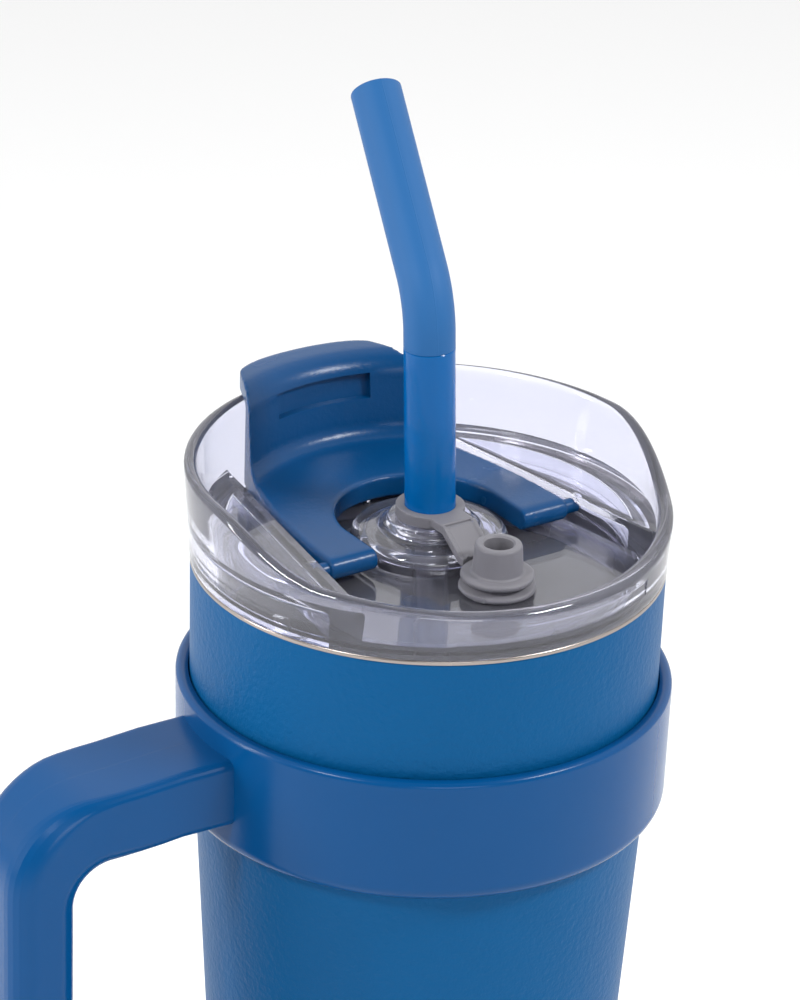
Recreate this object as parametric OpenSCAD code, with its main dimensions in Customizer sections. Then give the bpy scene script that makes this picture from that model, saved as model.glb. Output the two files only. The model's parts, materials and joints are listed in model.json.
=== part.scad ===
// Vacuum-insulated handled tumbler with a flip-cover straw lid.
// Frame: origin at the centre of the base, +Z up, handle towards -X. Millimetres.
// Lid pieces are written in the lid's own frame: the sip side is +Y, the hinge lies along X,
// and height is counted from the shell's top edge.

/* [Cup] */
// Height from the floor to the outer shell's top edge
cup_h = 250; // [220:1:310]
// Outer radius at the shell's top edge
rim_r = 50; // [47:0.5:58]
// Outer radius of the shell where it meets the base
base_r = 37; // [33:0.5:45]
// Height of the straight upper part, above the shoulder
upper_h = 30; // [26:1:60]
// How much the straight part narrows down to the shoulder
upper_draft = 0.3; // [0:0.1:1]
// Thickness of the outer steel wall
shell_wall = 0.9; // [0.6:0.1:1.5]
// Thickness of the inner steel wall
liner_wall = 0.8; // [0.6:0.1:1.5]
// Width of the vacuum space beside the inner wall
vacuum_gap = 3.2; // [2:0.1:5]
// Height of the vacuum space under the inner floor
floor_gap = 7; // [5:0.5:12]
// Height of the steel lip above the shell's top edge
lip_h = 0.9; // [0.6:0.1:2]
// Depth of the wide mouth that takes the lid
mouth_h = 20; // [16:1:26]
// Depth of the recess under the base
base_recess = 4; // [3:0.5:6]
// Height of the shell's lower edge above the floor
shell_clear = 1.2; // [0.8:0.1:2]
// Width of the non-slip ring
foot_w = 9; // [5:0.5:14]

/* [Handle] */
// Distance from the shell's top edge down to the collar
collar_drop = 25.7; // [22:0.1:29]
// Height of the collar
collar_h = 28.3; // [24:0.1:40]
// Thickness of the collar at its top edge
collar_wall = 2.9; // [2:0.1:5]
// Radius of the collar's lower outer edge
collar_round = 3.6; // [2:0.1:4.2]
// Clearance between the collar and the shell
collar_fit = 0.1; // [0.05:0.05:0.4]
// Width of the handle
handle_w = 24.6; // [18:0.1:34]
// Thickness of the upper arm
arm_t = 15.5; // [11:0.1:17]
// Thickness of the grip
grip_t = 14.6; // [10:0.1:20]
// Reach of the grip's outer face beyond the shell's top radius
grip_reach = 50.6; // [42:0.1:70]
// Clear height between the two arms
finger_h = 97; // [80:1:115]
// Thickness of the lower arm
low_arm_t = 14; // [12:0.5:18]
// Fall of each arm over its length
arm_fall = 2.6; // [0:0.1:5]
// Outer corner radius of the handle
corner_r = 20; // [14:0.5:24]
// Inner corner radius of the handle
inner_corner_r = 9; // [5:0.5:14]

/* [Lid] */
// Turn of the lid in the cup, from square to the handle
lid_turn = 5; // [-20:1:20]
// Height of the rim on the sip side
rim_high = 22.3; // [21:0.1:24]
// Height of the rim on the front side
rim_low = 10.8; // [10.4:0.1:14]
// Outer radius of the lid's wall at the sip side's rim
lid_r_extra = 1.6; // [0.8:0.1:3]
// Thickness of the lid's wall at its rim
lid_wall = 2.6; // [2:0.1:3]
// Height of the channel floor
floor_z = 3; // [2.8:0.1:3.6]
// Thickness of the channel floor
floor_t = 2; // [1.6:0.1:2.2]
// Height of the side shelves
shelf_z = 9.5; // [9:0.1:10]
// Width of each side shelf at the lid's middle, from the shell's top radius inwards
shelf_w = 19; // [17:0.1:19.4]
// Gain in half width for each millimetre towards the front
channel_splay = 0.16; // [0.14:0.01:0.22]
// Radius of the raised boss round the straw
boss_r = 16.6; // [15:0.1:16.8]
// Height of the boss's shoulder
boss_z = 7.2; // [6.6:0.1:7.4]
// Width of the hub's shoulder round the grommet's collar
hub_shoulder = 1.7; // [1:0.1:2.6]
// Height of the hub
hub_z = 9.6; // [9:0.1:10]
// Depth of the skirt below the shell's top edge
skirt_h = 13; // [11:0.5:15]
// Thickness of the skirt
skirt_t = 2.4; // [1.8:0.1:3]
// Clearance between the skirt and the steel mouth
skirt_clear = 0.5; // [0.4:0.1:0.8]
// Height of the lid gasket
gasket_h = 4.2; // [3:0.1:5]
// Clearance of the gasket's lips to the steel mouth
gasket_fit = 0.1; // [0.05:0.05:0.2]
// Length of the sip hole
sip_len = 20; // [14:0.5:22]
// Width of the sip hole
sip_w = 7; // [5:0.5:8]
// Distance of the sip hole's centre from the wall
sip_in = 9.46; // [8.5:0.02:11]
// Radius of the vent hole
vent_r = 1; // [0.6:0.1:1.6]

/* [Flip cover] */
// Height of the plate's top
plate_z = 9.2; // [9:0.1:9.5]
// Thickness of the plate and of its two round arms
plate_t = 4.9; // [4.4:0.1:5.2]
// Distance of the hinge from the lid axis, towards the front
hinge_y = 6.2; // [5:0.1:8]
// Gap between the cover's sides and the channel at the hinge
cover_side_gap = 1.3; // [1:0.1:3]
// Bow radius of the cover's sides
side_bow_r = 140; // [120:1:200]
// Side drift of the bow centre, which narrows the rear
side_bow_y = -10; // [-14:1:-6]
// Gap between the boss and the U opening
u_gap = 1.8; // [1.2:0.1:2.4]
// Rear shift of the U opening's centre
u_shift = 2.6; // [1:0.1:4]
// Thickness of the upright wall at the plate
wall_t_low = 5.5; // [4.5:0.1:7]
// Thickness of the upright wall at its top
wall_t_high = 3; // [2:0.1:4]
// Gap between the upright wall and the lid's wall at the floor
wall_gap = 0.46; // [0.3:0.02:1.4]
// Height of the lip's top
lip_top = 27.4; // [26:0.1:29]
// Height gap between the rim and the lip
lip_gap = 0.6; // [0.4:0.1:1]
// Reach of the lip beyond the lid's rim
lip_over = 2.95; // [1:0.05:4.4]
// How much narrower than the plate the lip's outline is
lip_narrow = 1.1; // [0:0.1:3]
// Radius of the hinge trunnions
trunnion_r = 1.6; // [1.2:0.1:1.8]
// Radial clearance of the trunnions in their sockets
trunnion_fit = 0.08; // [0.02:0.01:0.1]
// Depth of each trunnion in the channel wall
trunnion_in = 1.6; // [1:0.1:1.8]
// Depth of the pull recess
pocket_d = 1.6; // [1:0.1:2]

/* [Straw and stopper] */
// Outer radius of the straw
straw_r = 5.4; // [4:0.1:6]
// Wall thickness of the upper tube
tube_wall = 1.6; // [1:0.1:1.8]
// Height of the upper tube's foot
tube_foot = 3; // [-6:0.5:4]
// Wall thickness of the lower tube
low_wall = 0.8; // [0.6:0.1:1.2]
// Lean of the straw in its seat
straw_lean = 2.2; // [0:0.1:3]
// Direction of that lean, in the lid's frame
lean_az = 145; // [0:1:359]
// Height of the seam between tube and mouthpiece
seam_z = 47.8; // [42:0.1:60]
// Length of the tube's neck inside the mouthpiece
neck_len = 2.5; // [2:0.5:5.6]
// Angle of the mouthpiece's bend
tip_bend = 47; // [20:1:60]
// Radius of that bend
tip_bend_r = 16; // [12:1:24]
// Direction of the bend, in the lid's frame
tip_az = 74; // [60:1:120]
// Length of the mouthpiece beyond its bend
tip_len = 42; // [30:1:50]
// Gap between the straw's foot and the inner floor
straw_foot_gap = 8; // [5:1:30]
// Radial clearance of the straw in its grommet and of the tube in its mouthpiece
straw_fit = 0.06; // [0.02:0.01:0.1]
// Thickness of the grommet's collar
grommet_wall = 1.9; // [1.6:0.1:2.6]
// Height of the grommet's collar above the hub
grommet_h = 2.6; // [2.2:0.1:3.4]
// Width of the tether strap
strap_w = 8.2; // [5:0.1:9]
// Thickness of the tether strap
strap_t = 1.4; // [1:0.1:1.6]
// Gap between the boss and the stopper's head
plug_gap = 0.4; // [0.3:0.1:1.4]
// Radius of the stopper's head
plug_head_r = 8; // [6.5:0.1:8.1]
// How much narrower than its head the stopper's stem is
plug_step = 3; // [2.4:0.1:4]
// Height of the stopper
plug_h = 10.5; // [9:0.1:12]

/* [Hidden] */
$fn = 96;
touch = 0.02;          // gap between pieces that are welded, glued or pushed together
eps = 0.01;            // overshoot of a cut past the face it opens
arc_steps = 8;         // straight pieces in a quarter of an outline's corner

blue = "#1f6fb4";
soft_blue = "#2f7cc0";
steel = "#b9bcc0";
clear = [0.85, 0.9, 0.95, 0.35];
grey = "#85878a";
dark = "#3a3c40";

// Shell outline: a short straight part over a long cone
shoulder_z = cup_h - upper_h;
shoulder_r = rim_r - upper_draft;
function shell_r(z) = z > shoulder_z
    ? shoulder_r + (rim_r - shoulder_r) * (z - shoulder_z) / upper_h
    : base_r + (shoulder_r - base_r) * z / shoulder_z;

// Inner wall: wide at the mouth, then beside the vacuum space
mouth_z = cup_h - mouth_h;
inner_floor_z = base_recess + 2 * shell_wall + floor_gap;
function body_liner_r(z) = shell_r(z) - shell_wall - vacuum_gap - liner_wall;
liner_top_r = rim_r - shell_wall - liner_wall - touch;
function liner_r(z) = z > mouth_z
    ? body_liner_r(mouth_z) + (liner_top_r - body_liner_r(mouth_z)) * (z - mouth_z) / mouth_h
    : body_liner_r(z);
liner_corner = 6;
lip_edge = 0.35;       // rounding of the steel lip
lip_out = 0.1;         // reach of the lip past the shell
liner_floor_top = inner_floor_z + liner_wall;

// Points along an arc
function arc(cx, cy, r, a0, a1, n = arc_steps) =
    [for (i = [0:n]) [cx + r * cos(a0 + (a1 - a0) * i / n), cy + r * sin(a0 + (a1 - a0) * i / n)]];

// ---------------------------------------------------------------- cup

shell_corner = 2.4;
module outer_shell() {
    z0 = shell_clear;
    r0 = shell_r(z0);
    corner = shell_corner;
    color(blue) rotate_extrude() polygon(concat(
        [[rim_r, cup_h], [rim_r - shell_wall, cup_h], [shoulder_r - shell_wall, shoulder_z],
         [shell_r(base_recess) - shell_wall, base_recess + corner],
         [shell_r(base_recess) - corner, z0 + shell_wall],
         [r0 - corner - shell_wall, z0 + shell_wall], [r0 - corner - shell_wall, z0]],
        arc(r0 - corner, z0 + corner, corner, -90, 0),
        [[shoulder_r, shoulder_z]]));
}

module inner_liner() {
    top = cup_h + lip_h - lip_edge;
    t = liner_wall;
    rf = liner_r(inner_floor_z + liner_corner);
    relief = 0.4;
    color(steel) rotate_extrude() polygon(concat(
        [[0, inner_floor_z]],
        arc(rf + t - liner_corner, inner_floor_z + liner_corner, liner_corner, -90, 0),
        [[liner_r(mouth_z) + t, mouth_z], [liner_top_r + t, cup_h - touch - relief],
         [liner_top_r + t, cup_h + touch], [rim_r + lip_out, cup_h + touch]],
        arc(rim_r + lip_out - lip_edge, top, lip_edge, 0, 90, 4),
        arc(liner_top_r + lip_edge, top, lip_edge, 90, 180, 4),
        [[liner_top_r, cup_h], [liner_r(mouth_z), mouth_z],
         [rf, inner_floor_z + liner_corner]],
        arc(rf + t - liner_corner, inner_floor_z + liner_corner, liner_corner - t, 0, -90),
        [[0, liner_floor_top]]));
}

// Steel disc that closes the shell from below, with a dimple round the pump-out hole
disc_inset = 1.2;
disc_r = shell_r(base_recess) - shell_wall - disc_inset;
dimple_r = 9;
dimple_h = 1.2;
port_r = 1.5;
module shell_floor() {
    z = base_recess;
    t = shell_wall;
    color(steel) rotate_extrude() polygon([
        [port_r, z + dimple_h], [dimple_r, z + dimple_h], [dimple_r + dimple_h, z], [disc_r, z],
        [disc_r, z + t], [dimple_r + dimple_h, z + t], [dimple_r, z + dimple_h + t],
        [port_r, z + dimple_h + t]]);
}

getter_r = 6;
getter_t = 2.2;
getter_y = 16;
module getter() {
    color(dark) translate([0, getter_y, inner_floor_z - getter_t - touch])
        cylinder(r = getter_r, h = getter_t);
}

// Blob of solder that closes the pump-out hole
seal_t = 0.8;
seal_lap = 1.5;
seal_in = 0.5;
module vacuum_seal() {
    z = base_recess + dimple_h;
    color(steel) rotate_extrude() polygon([
        [0, z - seal_t], [port_r + seal_lap, z - seal_t], [port_r + seal_lap, z - touch],
        [port_r - touch, z - touch], [port_r - touch, z + seal_in], [0, z + seal_in]]);
}

foot_inset = 1.6;
foot_edge = 0.6;
foot_out = disc_r - foot_inset;
module base_ring() {
    foot_in = foot_out - foot_w;
    color(dark) rotate_extrude() polygon([
        [foot_in, base_recess - touch], [foot_in, foot_edge], [foot_in + foot_edge, 0],
        [foot_out - foot_edge, 0], [foot_out, foot_edge], [foot_out, base_recess - touch]]);
}

// ---------------------------------------------------------------- handle

collar_top = cup_h - collar_drop;
collar_low = collar_top - collar_h;
collar_out_top = shell_r(collar_top) + collar_fit + collar_wall;
collar_taper = 0.35;
collar_edge = 1.1;     // rounding of the collar's top edge
handle_reach = rim_r + grip_reach;
arm_drop = 5.3;
arm_top = collar_top - arm_drop;
arm_under = arm_top - arm_t;
low_top = arm_under - 2 * arm_fall - finger_h;
low_under = low_top - low_arm_t;
grip_in = handle_reach - grip_t;

// Tab on the shell that carries the handle's lower end, and the screw up into it
tab_t = 2.5;
tab_w = 12;
tab_reach = 11;
tab_rise = 8;
tab_in = 2;            // how far the tab's blank runs into the shell before it is trimmed
tab_z = low_under - arm_fall + tab_rise;
screw_r = 1.9;
screw_len = 8;
screw_clear = 0.2;
head_r = 3.4;
head_h = 2.2;
web_t = 2.6;
cap_r = 4.2;
cap_t = 2.4;
cap_gap = 0.1;
screw_out = 6.5;       // from the shell to the screw's axis
screw_x = shell_r(tab_z) + screw_out;
foot_clear = 0.3;      // extra room between the lower end and the shell
seat_z = tab_z - web_t;

module collar() {
    out_low = collar_out_top - collar_taper;
    rotate_extrude() polygon(concat(
        [[shell_r(collar_low) + collar_fit, collar_low]],
        arc(out_low - collar_round, collar_low + collar_round, collar_round, -90, 0),
        arc(collar_out_top - collar_edge, collar_top - collar_edge, collar_edge, 0, 90, 4),
        [[shell_r(collar_top) + collar_fit, collar_top],
         [shoulder_r + collar_fit, shoulder_z]]));
}

// Side view of the handle: reach grows to the right, height upwards
module handle_side() {
    root_in = 0.5;
    foot_in = 3;
    root = rim_r + collar_fit + root_in;
    foot = shell_r(low_under) - foot_in;
    polygon(concat(
        [[root, arm_top]],
        arc(handle_reach - corner_r, arm_top - arm_fall - corner_r, corner_r, 90, 0),
        arc(handle_reach - corner_r, low_under + corner_r, corner_r, 0, -90),
        [[foot, low_under - arm_fall], [foot, low_top - arm_fall]],
        arc(grip_in - inner_corner_r, low_top + inner_corner_r, inner_corner_r, -90, 0),
        arc(grip_in - inner_corner_r, arm_under - arm_fall - inner_corner_r, inner_corner_r, 0, 90),
        [[root, arm_under]]));
}

module handle() {
    foot_gap = collar_fit + foot_clear;
    cut_top = low_top + inner_corner_r;
    slot_x = shell_r(tab_z) + tab_reach + collar_fit;
    well_z = low_under - 2 * arm_fall;
    color(blue) difference() {
        union() {
            collar();
            rotate([90, 0, 180]) linear_extrude(handle_w, center = true) handle_side();
        }
        // the lower end follows the shell
        cylinder(r1 = base_r + foot_gap, r2 = shell_r(cut_top) + foot_gap, h = cut_top);
        // slot for the tab, and the screw's way up to it
        translate([-slot_x, -tab_w / 2 - collar_fit, tab_z - collar_fit])
            cube([tab_reach + 2 * tab_in, tab_w + 2 * collar_fit, tab_t + 2 * collar_fit]);
        translate([-screw_x, 0, seat_z - 1]) cylinder(r = screw_r + screw_clear, h = screw_len + 1);
        translate([-screw_x, 0, well_z]) cylinder(r = cap_r + touch, h = seat_z - well_z);
    }
}

module handle_bracket() {
    color(steel) difference() {
        translate([-shell_r(tab_z) - tab_reach, -tab_w / 2, tab_z]) cube([tab_reach + tab_in, tab_w, tab_t]);
        cylinder(r1 = base_r + touch, r2 = shoulder_r + touch, h = shoulder_z);
        translate([-screw_x, 0, tab_z - 1]) cylinder(r = screw_r + touch, h = tab_t + 2);
    }
}

module bracket_screw() {
    socket_r = 1.5;
    socket_h = 1.4;
    point_gap = 0.5;
    color(steel) translate([-screw_x, 0, seat_z - head_h]) difference() {
        union() {
            cylinder(r = head_r, h = head_h - touch);
            cylinder(r = screw_r, h = head_h + screw_len - point_gap);
        }
        translate([0, 0, -eps]) cylinder(r = socket_r, h = socket_h, $fn = 6);
    }
}

module screw_cap() {
    color(blue) translate([-screw_x, 0, seat_z - head_h - cap_t - cap_gap])
        cylinder(r = cap_r, h = cap_t);
}

// ---------------------------------------------------------------- lid

module in_lid() {
    translate([0, 0, cup_h]) rotate(lid_turn) children();
}

lid_seat = 0.05;       // gap between the lid and the steel lip
flange_z = lip_h + lid_seat;
flange_over = 0.05;    // reach of the lid's flange past the shell
flange_r = rim_r + flange_over;
wall_draft = 0.134;
rim_out = flange_r + lid_r_extra;
function lid_out_r(z) = flange_r + lid_r_extra * (z - flange_z) / (rim_high - flange_z);
function lid_in_r(z) = rim_out - lid_wall - wall_draft * (rim_high - z);
// Half width of the channel between the shelves; y grows towards the sip side
channel_half = rim_r - shelf_w;
function channel_x(y) = channel_half - channel_splay * y;
floor_under = floor_z - floor_t;
skirt_out = liner_r(cup_h - skirt_h) - skirt_clear;
skirt_in = skirt_out - skirt_t;
skirt_edge = 0.6;
skin = 2.8;
core_in = 0.6;         // the cores' distance inside the skirt
shelf_root = 0.8;      // how far the shelves run into the wall
boss_edge = 2;
hub_slope = 1.6;
hub_web = 3;
groove_low = 5;        // from the skirt's lower edge to the groove
groove_end = 0.6;      // room above and below the gasket
groove_z = [groove_low - skirt_h, groove_low - skirt_h + gasket_h + 2 * groove_end];
groove_d = 1.2;
sip_y = lid_in_r(floor_z) - sip_in;
vent_share = 0.44;     // the vent's place between the boss and the sip hole
vent_y = boss_r + (sip_y - sip_w / 2 - boss_r) * vent_share;
seal_over = 2.4;       // reach of the sip seal's pad past its hole
seal_gap = 0.4;        // room round the sip seal's plug
seal_depth = 1.4;
grommet_r = straw_r + grommet_wall;
neck_wall = 1.3;
neck_r = straw_r + neck_wall;
hub_r = grommet_r + hub_shoulder;
grommet_z = hub_z + grommet_h;
plug_y = boss_r + plug_head_r + plug_gap;
plug_stem_r = plug_head_r - plug_step;

socket_end = 0.3;      // room beyond each trunnion's end
snap_x = channel_x(-hinge_y) + 0.6 * trunnion_in;
snap_run = 14;
snap_half = trunnion_r - 0.5;

// Side view of the rim: level over the sip side, then a soft step down to the front
module rim_side() {
    step_y0 = 5;
    step_y1 = -28;
    step_low = rim_low + 2.6;
    n = 14;
    reach = rim_r + 10;
    polygon(concat(
        [[reach, -skirt_h - 5], [reach, rim_high]],
        [for (i = [0:n]) [step_y0 + (step_y1 - step_y0) * i / n,
            step_low + (rim_high - step_low) * (1 + cos(180 * i / n)) / 2]],
        [[-rim_out, rim_low], [-reach, rim_low], [-reach, -skirt_h - 5]]));
}

module shelf_plan(inset) {
    reach = rim_r + 10;
    for (side = [-1, 1]) polygon([
        [side * (channel_x(-reach) + inset), -reach], [side * 2 * reach, -reach],
        [side * 2 * reach, reach], [side * (channel_x(reach) + inset), reach]]);
}

module sip_plan(grow) {
    half = (sip_len - sip_w) / 2;
    translate([0, sip_y]) {
        square([2 * half, sip_w + 2 * grow], center = true);
        for (side = [-1, 1]) translate([side * half, 0]) circle(r = sip_w / 2 + grow, $fn = 48);
    }
}

module lid_solid() {
    // wall, floor and skirt
    rotate_extrude() polygon([
        [skirt_in, floor_under], [skirt_in, -skirt_h], [skirt_out - skirt_edge, -skirt_h],
        [skirt_out, skirt_edge - skirt_h], [skirt_out, flange_z], [lid_out_r(flange_z), flange_z],
        [rim_out, rim_high], [rim_out - lid_wall, rim_high], [lid_in_r(floor_z), floor_z],
        [0, floor_z], [0, floor_under]]);
    // side shelves
    translate([0, 0, floor_under]) linear_extrude(shelf_z - floor_under) intersection() {
        circle(r = lid_in_r(shelf_z) + shelf_root);
        shelf_plan(0);
    }
    // boss and hub round the straw
    rotate_extrude() polygon(concat(
        [[0, floor_under], [boss_r, floor_under]],
        arc(boss_r - boss_edge, boss_z - boss_edge, boss_edge, 0, 90, 5),
        [[hub_r + hub_slope, boss_z], [hub_r, hub_z], [0, hub_z]]));
}

module lid_cuts() {
    core_z = boss_z - skin - 1;
    // cores under the shelves and the boss
    translate([0, 0, -skirt_h]) linear_extrude(skirt_h + shelf_z - skin) intersection() {
        circle(r = skirt_in - core_in);
        shelf_plan(skin);
    }
    rotate_extrude() polygon([
        [0, floor_under - eps], [boss_r - skin, floor_under - eps], [boss_r - skin, core_z],
        [hub_r + core_in, core_z], [hub_r - core_in, hub_z - hub_web], [0, hub_z - hub_web]]);
    // hole for the grommet's neck
    translate([0, 0, floor_under]) cylinder(r = neck_r + touch, h = hub_z);
    // sip hole and vent
    translate([0, 0, floor_under - 1]) linear_extrude(floor_t + 2) sip_plan(0);
    translate([0, vent_y, floor_under - 1]) cylinder(r = vent_r, h = floor_t + 2);
    // gasket groove
    rotate_extrude() polygon([
        [skirt_out - groove_d, groove_z[0]], [skirt_out + 1, groove_z[0]],
        [skirt_out + 1, groove_z[1]], [skirt_out - groove_d, groove_z[1]]]);
    // hinge sockets, each with a shallow groove to the front that its trunnion snaps in through
    socket_x = channel_x(-hinge_y) - 1;
    for (side = [-1, 1]) translate([0, -hinge_y, hinge_z]) {
        rotate([0, 90 * side, 0]) translate([0, 0, socket_x])
            cylinder(r = trunnion_r + trunnion_fit, h = trunnion_end + socket_end - socket_x);
        translate([side * (socket_x + snap_x) / 2, -snap_run / 2, 0])
            cube([snap_x - socket_x, snap_run, 2 * snap_half], center = true);
    }
}

module lid_shell() {
    color(clear) in_lid() intersection() {
        difference() {
            lid_solid();
            lid_cuts();
        }
        rotate([90, 0, 90]) linear_extrude(4 * rim_r, center = true) rim_side();
    }
}

module lid_gasket() {
    end_gap = 0.1;
    z0 = groove_z[0] + end_gap;
    z1 = groove_z[1] - end_gap;
    back = skirt_out - groove_d + touch;
    face = skirt_out - 0.2;
    lip = function (z) liner_r(cup_h + z) - gasket_fit;
    // each lip starts, ends and runs out at these distances from its end of the gasket
    a = 0.9;
    b = 1.4;
    c = 2.1;
    color(grey) in_lid() rotate_extrude() polygon([
        [back, z0], [face, z0], [lip(z0 + a), z0 + a], [lip(z0 + b), z0 + b],
        [face, z0 + c], [face, z1 - c], [lip(z1 - b), z1 - b],
        [lip(z1 - a), z1 - a], [face, z1], [back, z1]]);
}

// ---------------------------------------------------------------- straw and stopper

lean_z = hub_z + 1.4;    // height at which the leaning straw crosses the lid axis
strap_step = 0.5;      // drop from the collar's top to the strap
step_out = 2.7;        // from the collar to the strap's fold
step_y = grommet_r + step_out;
module on_straw() {
    translate([0, 0, lean_z]) rotate([0, 0, lean_az]) rotate([0, straw_lean, 0]) rotate([0, 0, -lean_az])
        translate([0, 0, -lean_z]) children();
}

module straw_grommet() {
    flange_t = 1.7;
    flange_low = 0.8;
    flange_out = 1.3;
    round = 0.5;
    low = hub_z - hub_web - touch;
    color(grey) in_lid() difference() {
        union() {
            rotate_extrude() polygon([
                [0, low - flange_t], [neck_r + flange_low, low - flange_t], [neck_r + flange_out, low],
                [neck_r, low], [neck_r, hub_z + touch], [grommet_r, hub_z + touch],
                [grommet_r, grommet_z - round], [grommet_r - round, grommet_z], [0, grommet_z]]);
            translate([-strap_w / 2, -step_y, grommet_z - strap_t - strap_step])
                cube([strap_w, step_y, strap_t + strap_step]);
        }
        on_straw() cylinder(r = straw_r + straw_fit, h = 3 * grommet_z, center = true);
    }
}

// The strap leaves the grommet level, slopes down over the boss and ends round the stopper's
// upper flange
plug_flange_r = plug_head_r - 0.3;
pad_top = floor_z + 4.5;
module tether_strap() {
    top = grommet_z - strap_step;
    y0 = step_y + touch;
    y1 = boss_r;
    y2 = plug_y - plug_flange_r + 1.5;
    // level start, bend and level end of the strap's two faces
    flat = 1;
    flat_low = 0.6;
    bend_out = 0.8;
    bend_low = 0.5;
    ease = 0.3;
    ease_low = 0.4;
    color(grey) in_lid() difference() {
        rotate([90, 0, -90]) linear_extrude(strap_w, center = true) polygon([
            [y0, top], [y0 + flat, top], [y1, pad_top + ease], [y1 + bend_out, pad_top],
            [y2, pad_top], [y2, pad_top - strap_t], [y1 + bend_low, pad_top - strap_t],
            [y1 - ease, pad_top - strap_t + ease_low], [y0 + flat_low, top - strap_t],
            [y0, top - strap_t]]);
        translate([0, -plug_y, 0]) cylinder(r = plug_flange_r + touch, h = grommet_z);
    }
}

module stopper() {
    rest = 0.05;           // room under the head
    stem_wall = 1.7;
    edge = 0.4;
    soft = 0.5;
    waist = 2;             // depth of the groove between the two discs
    head_z = [0.7, 1.1, 1.7];
    waist_z = [2.1, 2.6];
    flange_z = [3, 3.5, 4.1];
    stem_z = 4.3;
    r = plug_head_r;
    f = plug_flange_r;
    color(grey) in_lid() translate([0, -plug_y, floor_z + rest]) difference() {
        rotate_extrude() polygon([
            [0, 0], [r - 2 * edge, 0], [r, head_z[0]], [r, head_z[1]], [r - soft, head_z[2]],
            [r - waist, waist_z[0]], [r - waist, waist_z[1]], [f - edge, flange_z[0]],
            [f, flange_z[1]], [f - soft, flange_z[2]], [plug_stem_r + edge, stem_z],
            [plug_stem_r, plug_h - edge], [plug_stem_r - edge, plug_h], [0, plug_h]]);
        translate([0, 0, flange_z[0]]) cylinder(r = plug_stem_r - stem_wall, h = plug_h);
    }
}

neck_r_out = straw_r - tube_wall / 2;
module straw_tube() {
    bore = straw_r - tube_wall;
    color(soft_blue) in_lid() on_straw() translate([0, 0, tube_foot]) difference() {
        union() {
            cylinder(r = straw_r, h = seam_z - tube_foot);
            cylinder(r = neck_r_out, h = seam_z - tube_foot + neck_len);
        }
        translate([0, 0, -eps]) cylinder(r = bore, h = seam_z - tube_foot + neck_len + 1);
    }
}

// Clear lower tube, pushed up into the upper one
low_lap = 9;
module straw_lower() {
    foot = liner_floor_top - cup_h + straw_foot_gap;
    r = straw_r - tube_wall - touch;
    color(clear) in_lid() on_straw() translate([0, 0, foot]) difference() {
        cylinder(r = r, h = tube_foot + low_lap - foot);
        translate([0, 0, -eps]) cylinder(r = r - low_wall, h = tube_foot + low_lap - foot + 1);
    }
}

module straw_mouthpiece() {
    bore = neck_r_out + straw_fit;
    end_gap = 0.3;         // room past the tube's neck
    soft_wall = 1.6;
    bend_z = seam_z + neck_len + end_gap + 0.4;
    in_bore = straw_r - soft_wall;
    color(soft_blue) in_lid() on_straw() rotate(tip_az) difference() {
        union() {
            translate([0, 0, seam_z + touch]) cylinder(r = straw_r, h = bend_z - seam_z - touch);
            bend(straw_r, bend_z);
        }
        translate([0, 0, seam_z - eps]) cylinder(r = bore, h = neck_len + end_gap + eps);
        translate([0, 0, seam_z]) cylinder(r = in_bore, h = bend_z - seam_z);
        bend(in_bore, bend_z, 0.5);
    }
}

// Bent tube: a stretch of ring, then a straight end a hair wider, so that the two always join
module bend(r, z, over = 0) {
    lap = 0.4;
    translate([tip_bend_r, 0, z]) {
        rotate([90, 0, 0]) rotate_extrude(angle = tip_bend, start = 180 - tip_bend)
            translate([tip_bend_r, 0]) circle(r = r);
        rotate([0, tip_bend, 0]) translate([-tip_bend_r, 0, -lap])
            cylinder(r = r + touch, h = tip_len + lap + over);
    }
}

// ---------------------------------------------------------------- flip cover

cover_half = channel_half - cover_side_gap;
u_r = boss_r + u_gap;
wall_out = lid_in_r(floor_z) - wall_gap;
wall_in_low = wall_out - wall_t_low;
wall_in_high = wall_out - wall_t_high;
lip_r = rim_out + lip_over;
lip_tongue_r = cover_half - lip_narrow;
hinge_z = plate_z - plate_t / 2;
trunnion_end = channel_x(-hinge_y) + trunnion_in;
plate_low = plate_z - plate_t;
lip_low = rim_high + lip_gap;

// Outline of the cover's sides: two shallow bows that draw together at the rear
module cover_plan() {
    intersection() {
        intersection_for (side = [-1, 1]) translate([side * (side_bow_r - cover_half), side_bow_y])
            circle(r = side_bow_r);
        translate([-rim_r, -hinge_y]) square([2 * rim_r, 3 * rim_r]);
    }
}

// Outline of the lip, rounded at its corners
module tongue_plan() {
    translate([0, lip_r - lip_tongue_r]) circle(r = lip_tongue_r);
    translate([-lip_tongue_r, 0]) square([2 * lip_tongue_r, lip_r - lip_tongue_r]);
}

module u_plan() {
    translate([0, u_shift]) circle(r = u_r);
    translate([-u_r, u_shift - 2 * rim_r]) square([2 * u_r, 2 * rim_r]);
}

root_round = 4;
wall_foot_r = wall_in_low + 1;
wall_foot_z = plate_z + root_round;
edge_round = 3;
// Radius of the wall's inner face at height z
function wall_in_r(z) = wall_foot_r
    + (wall_in_high - wall_foot_r) * (z - wall_foot_z) / (lip_top - edge_round - wall_foot_z);

module cover_wall() {
    lip_round = 2;
    rotate_extrude(angle = 80, start = 50) polygon(concat(
        [[wall_foot_r - root_round, plate_low], [wall_out, plate_low], [wall_out, lip_low],
         [lip_r - lip_round / 2, lip_low]],
        arc(lip_r - lip_round, lip_top - lip_round, lip_round, 0, 90, 4),
        arc(wall_in_high + edge_round, lip_top - edge_round, edge_round, 90, 180, 5),
        arc(wall_foot_r - root_round, wall_foot_z, root_round, 0, -90, 5)));
}

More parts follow.
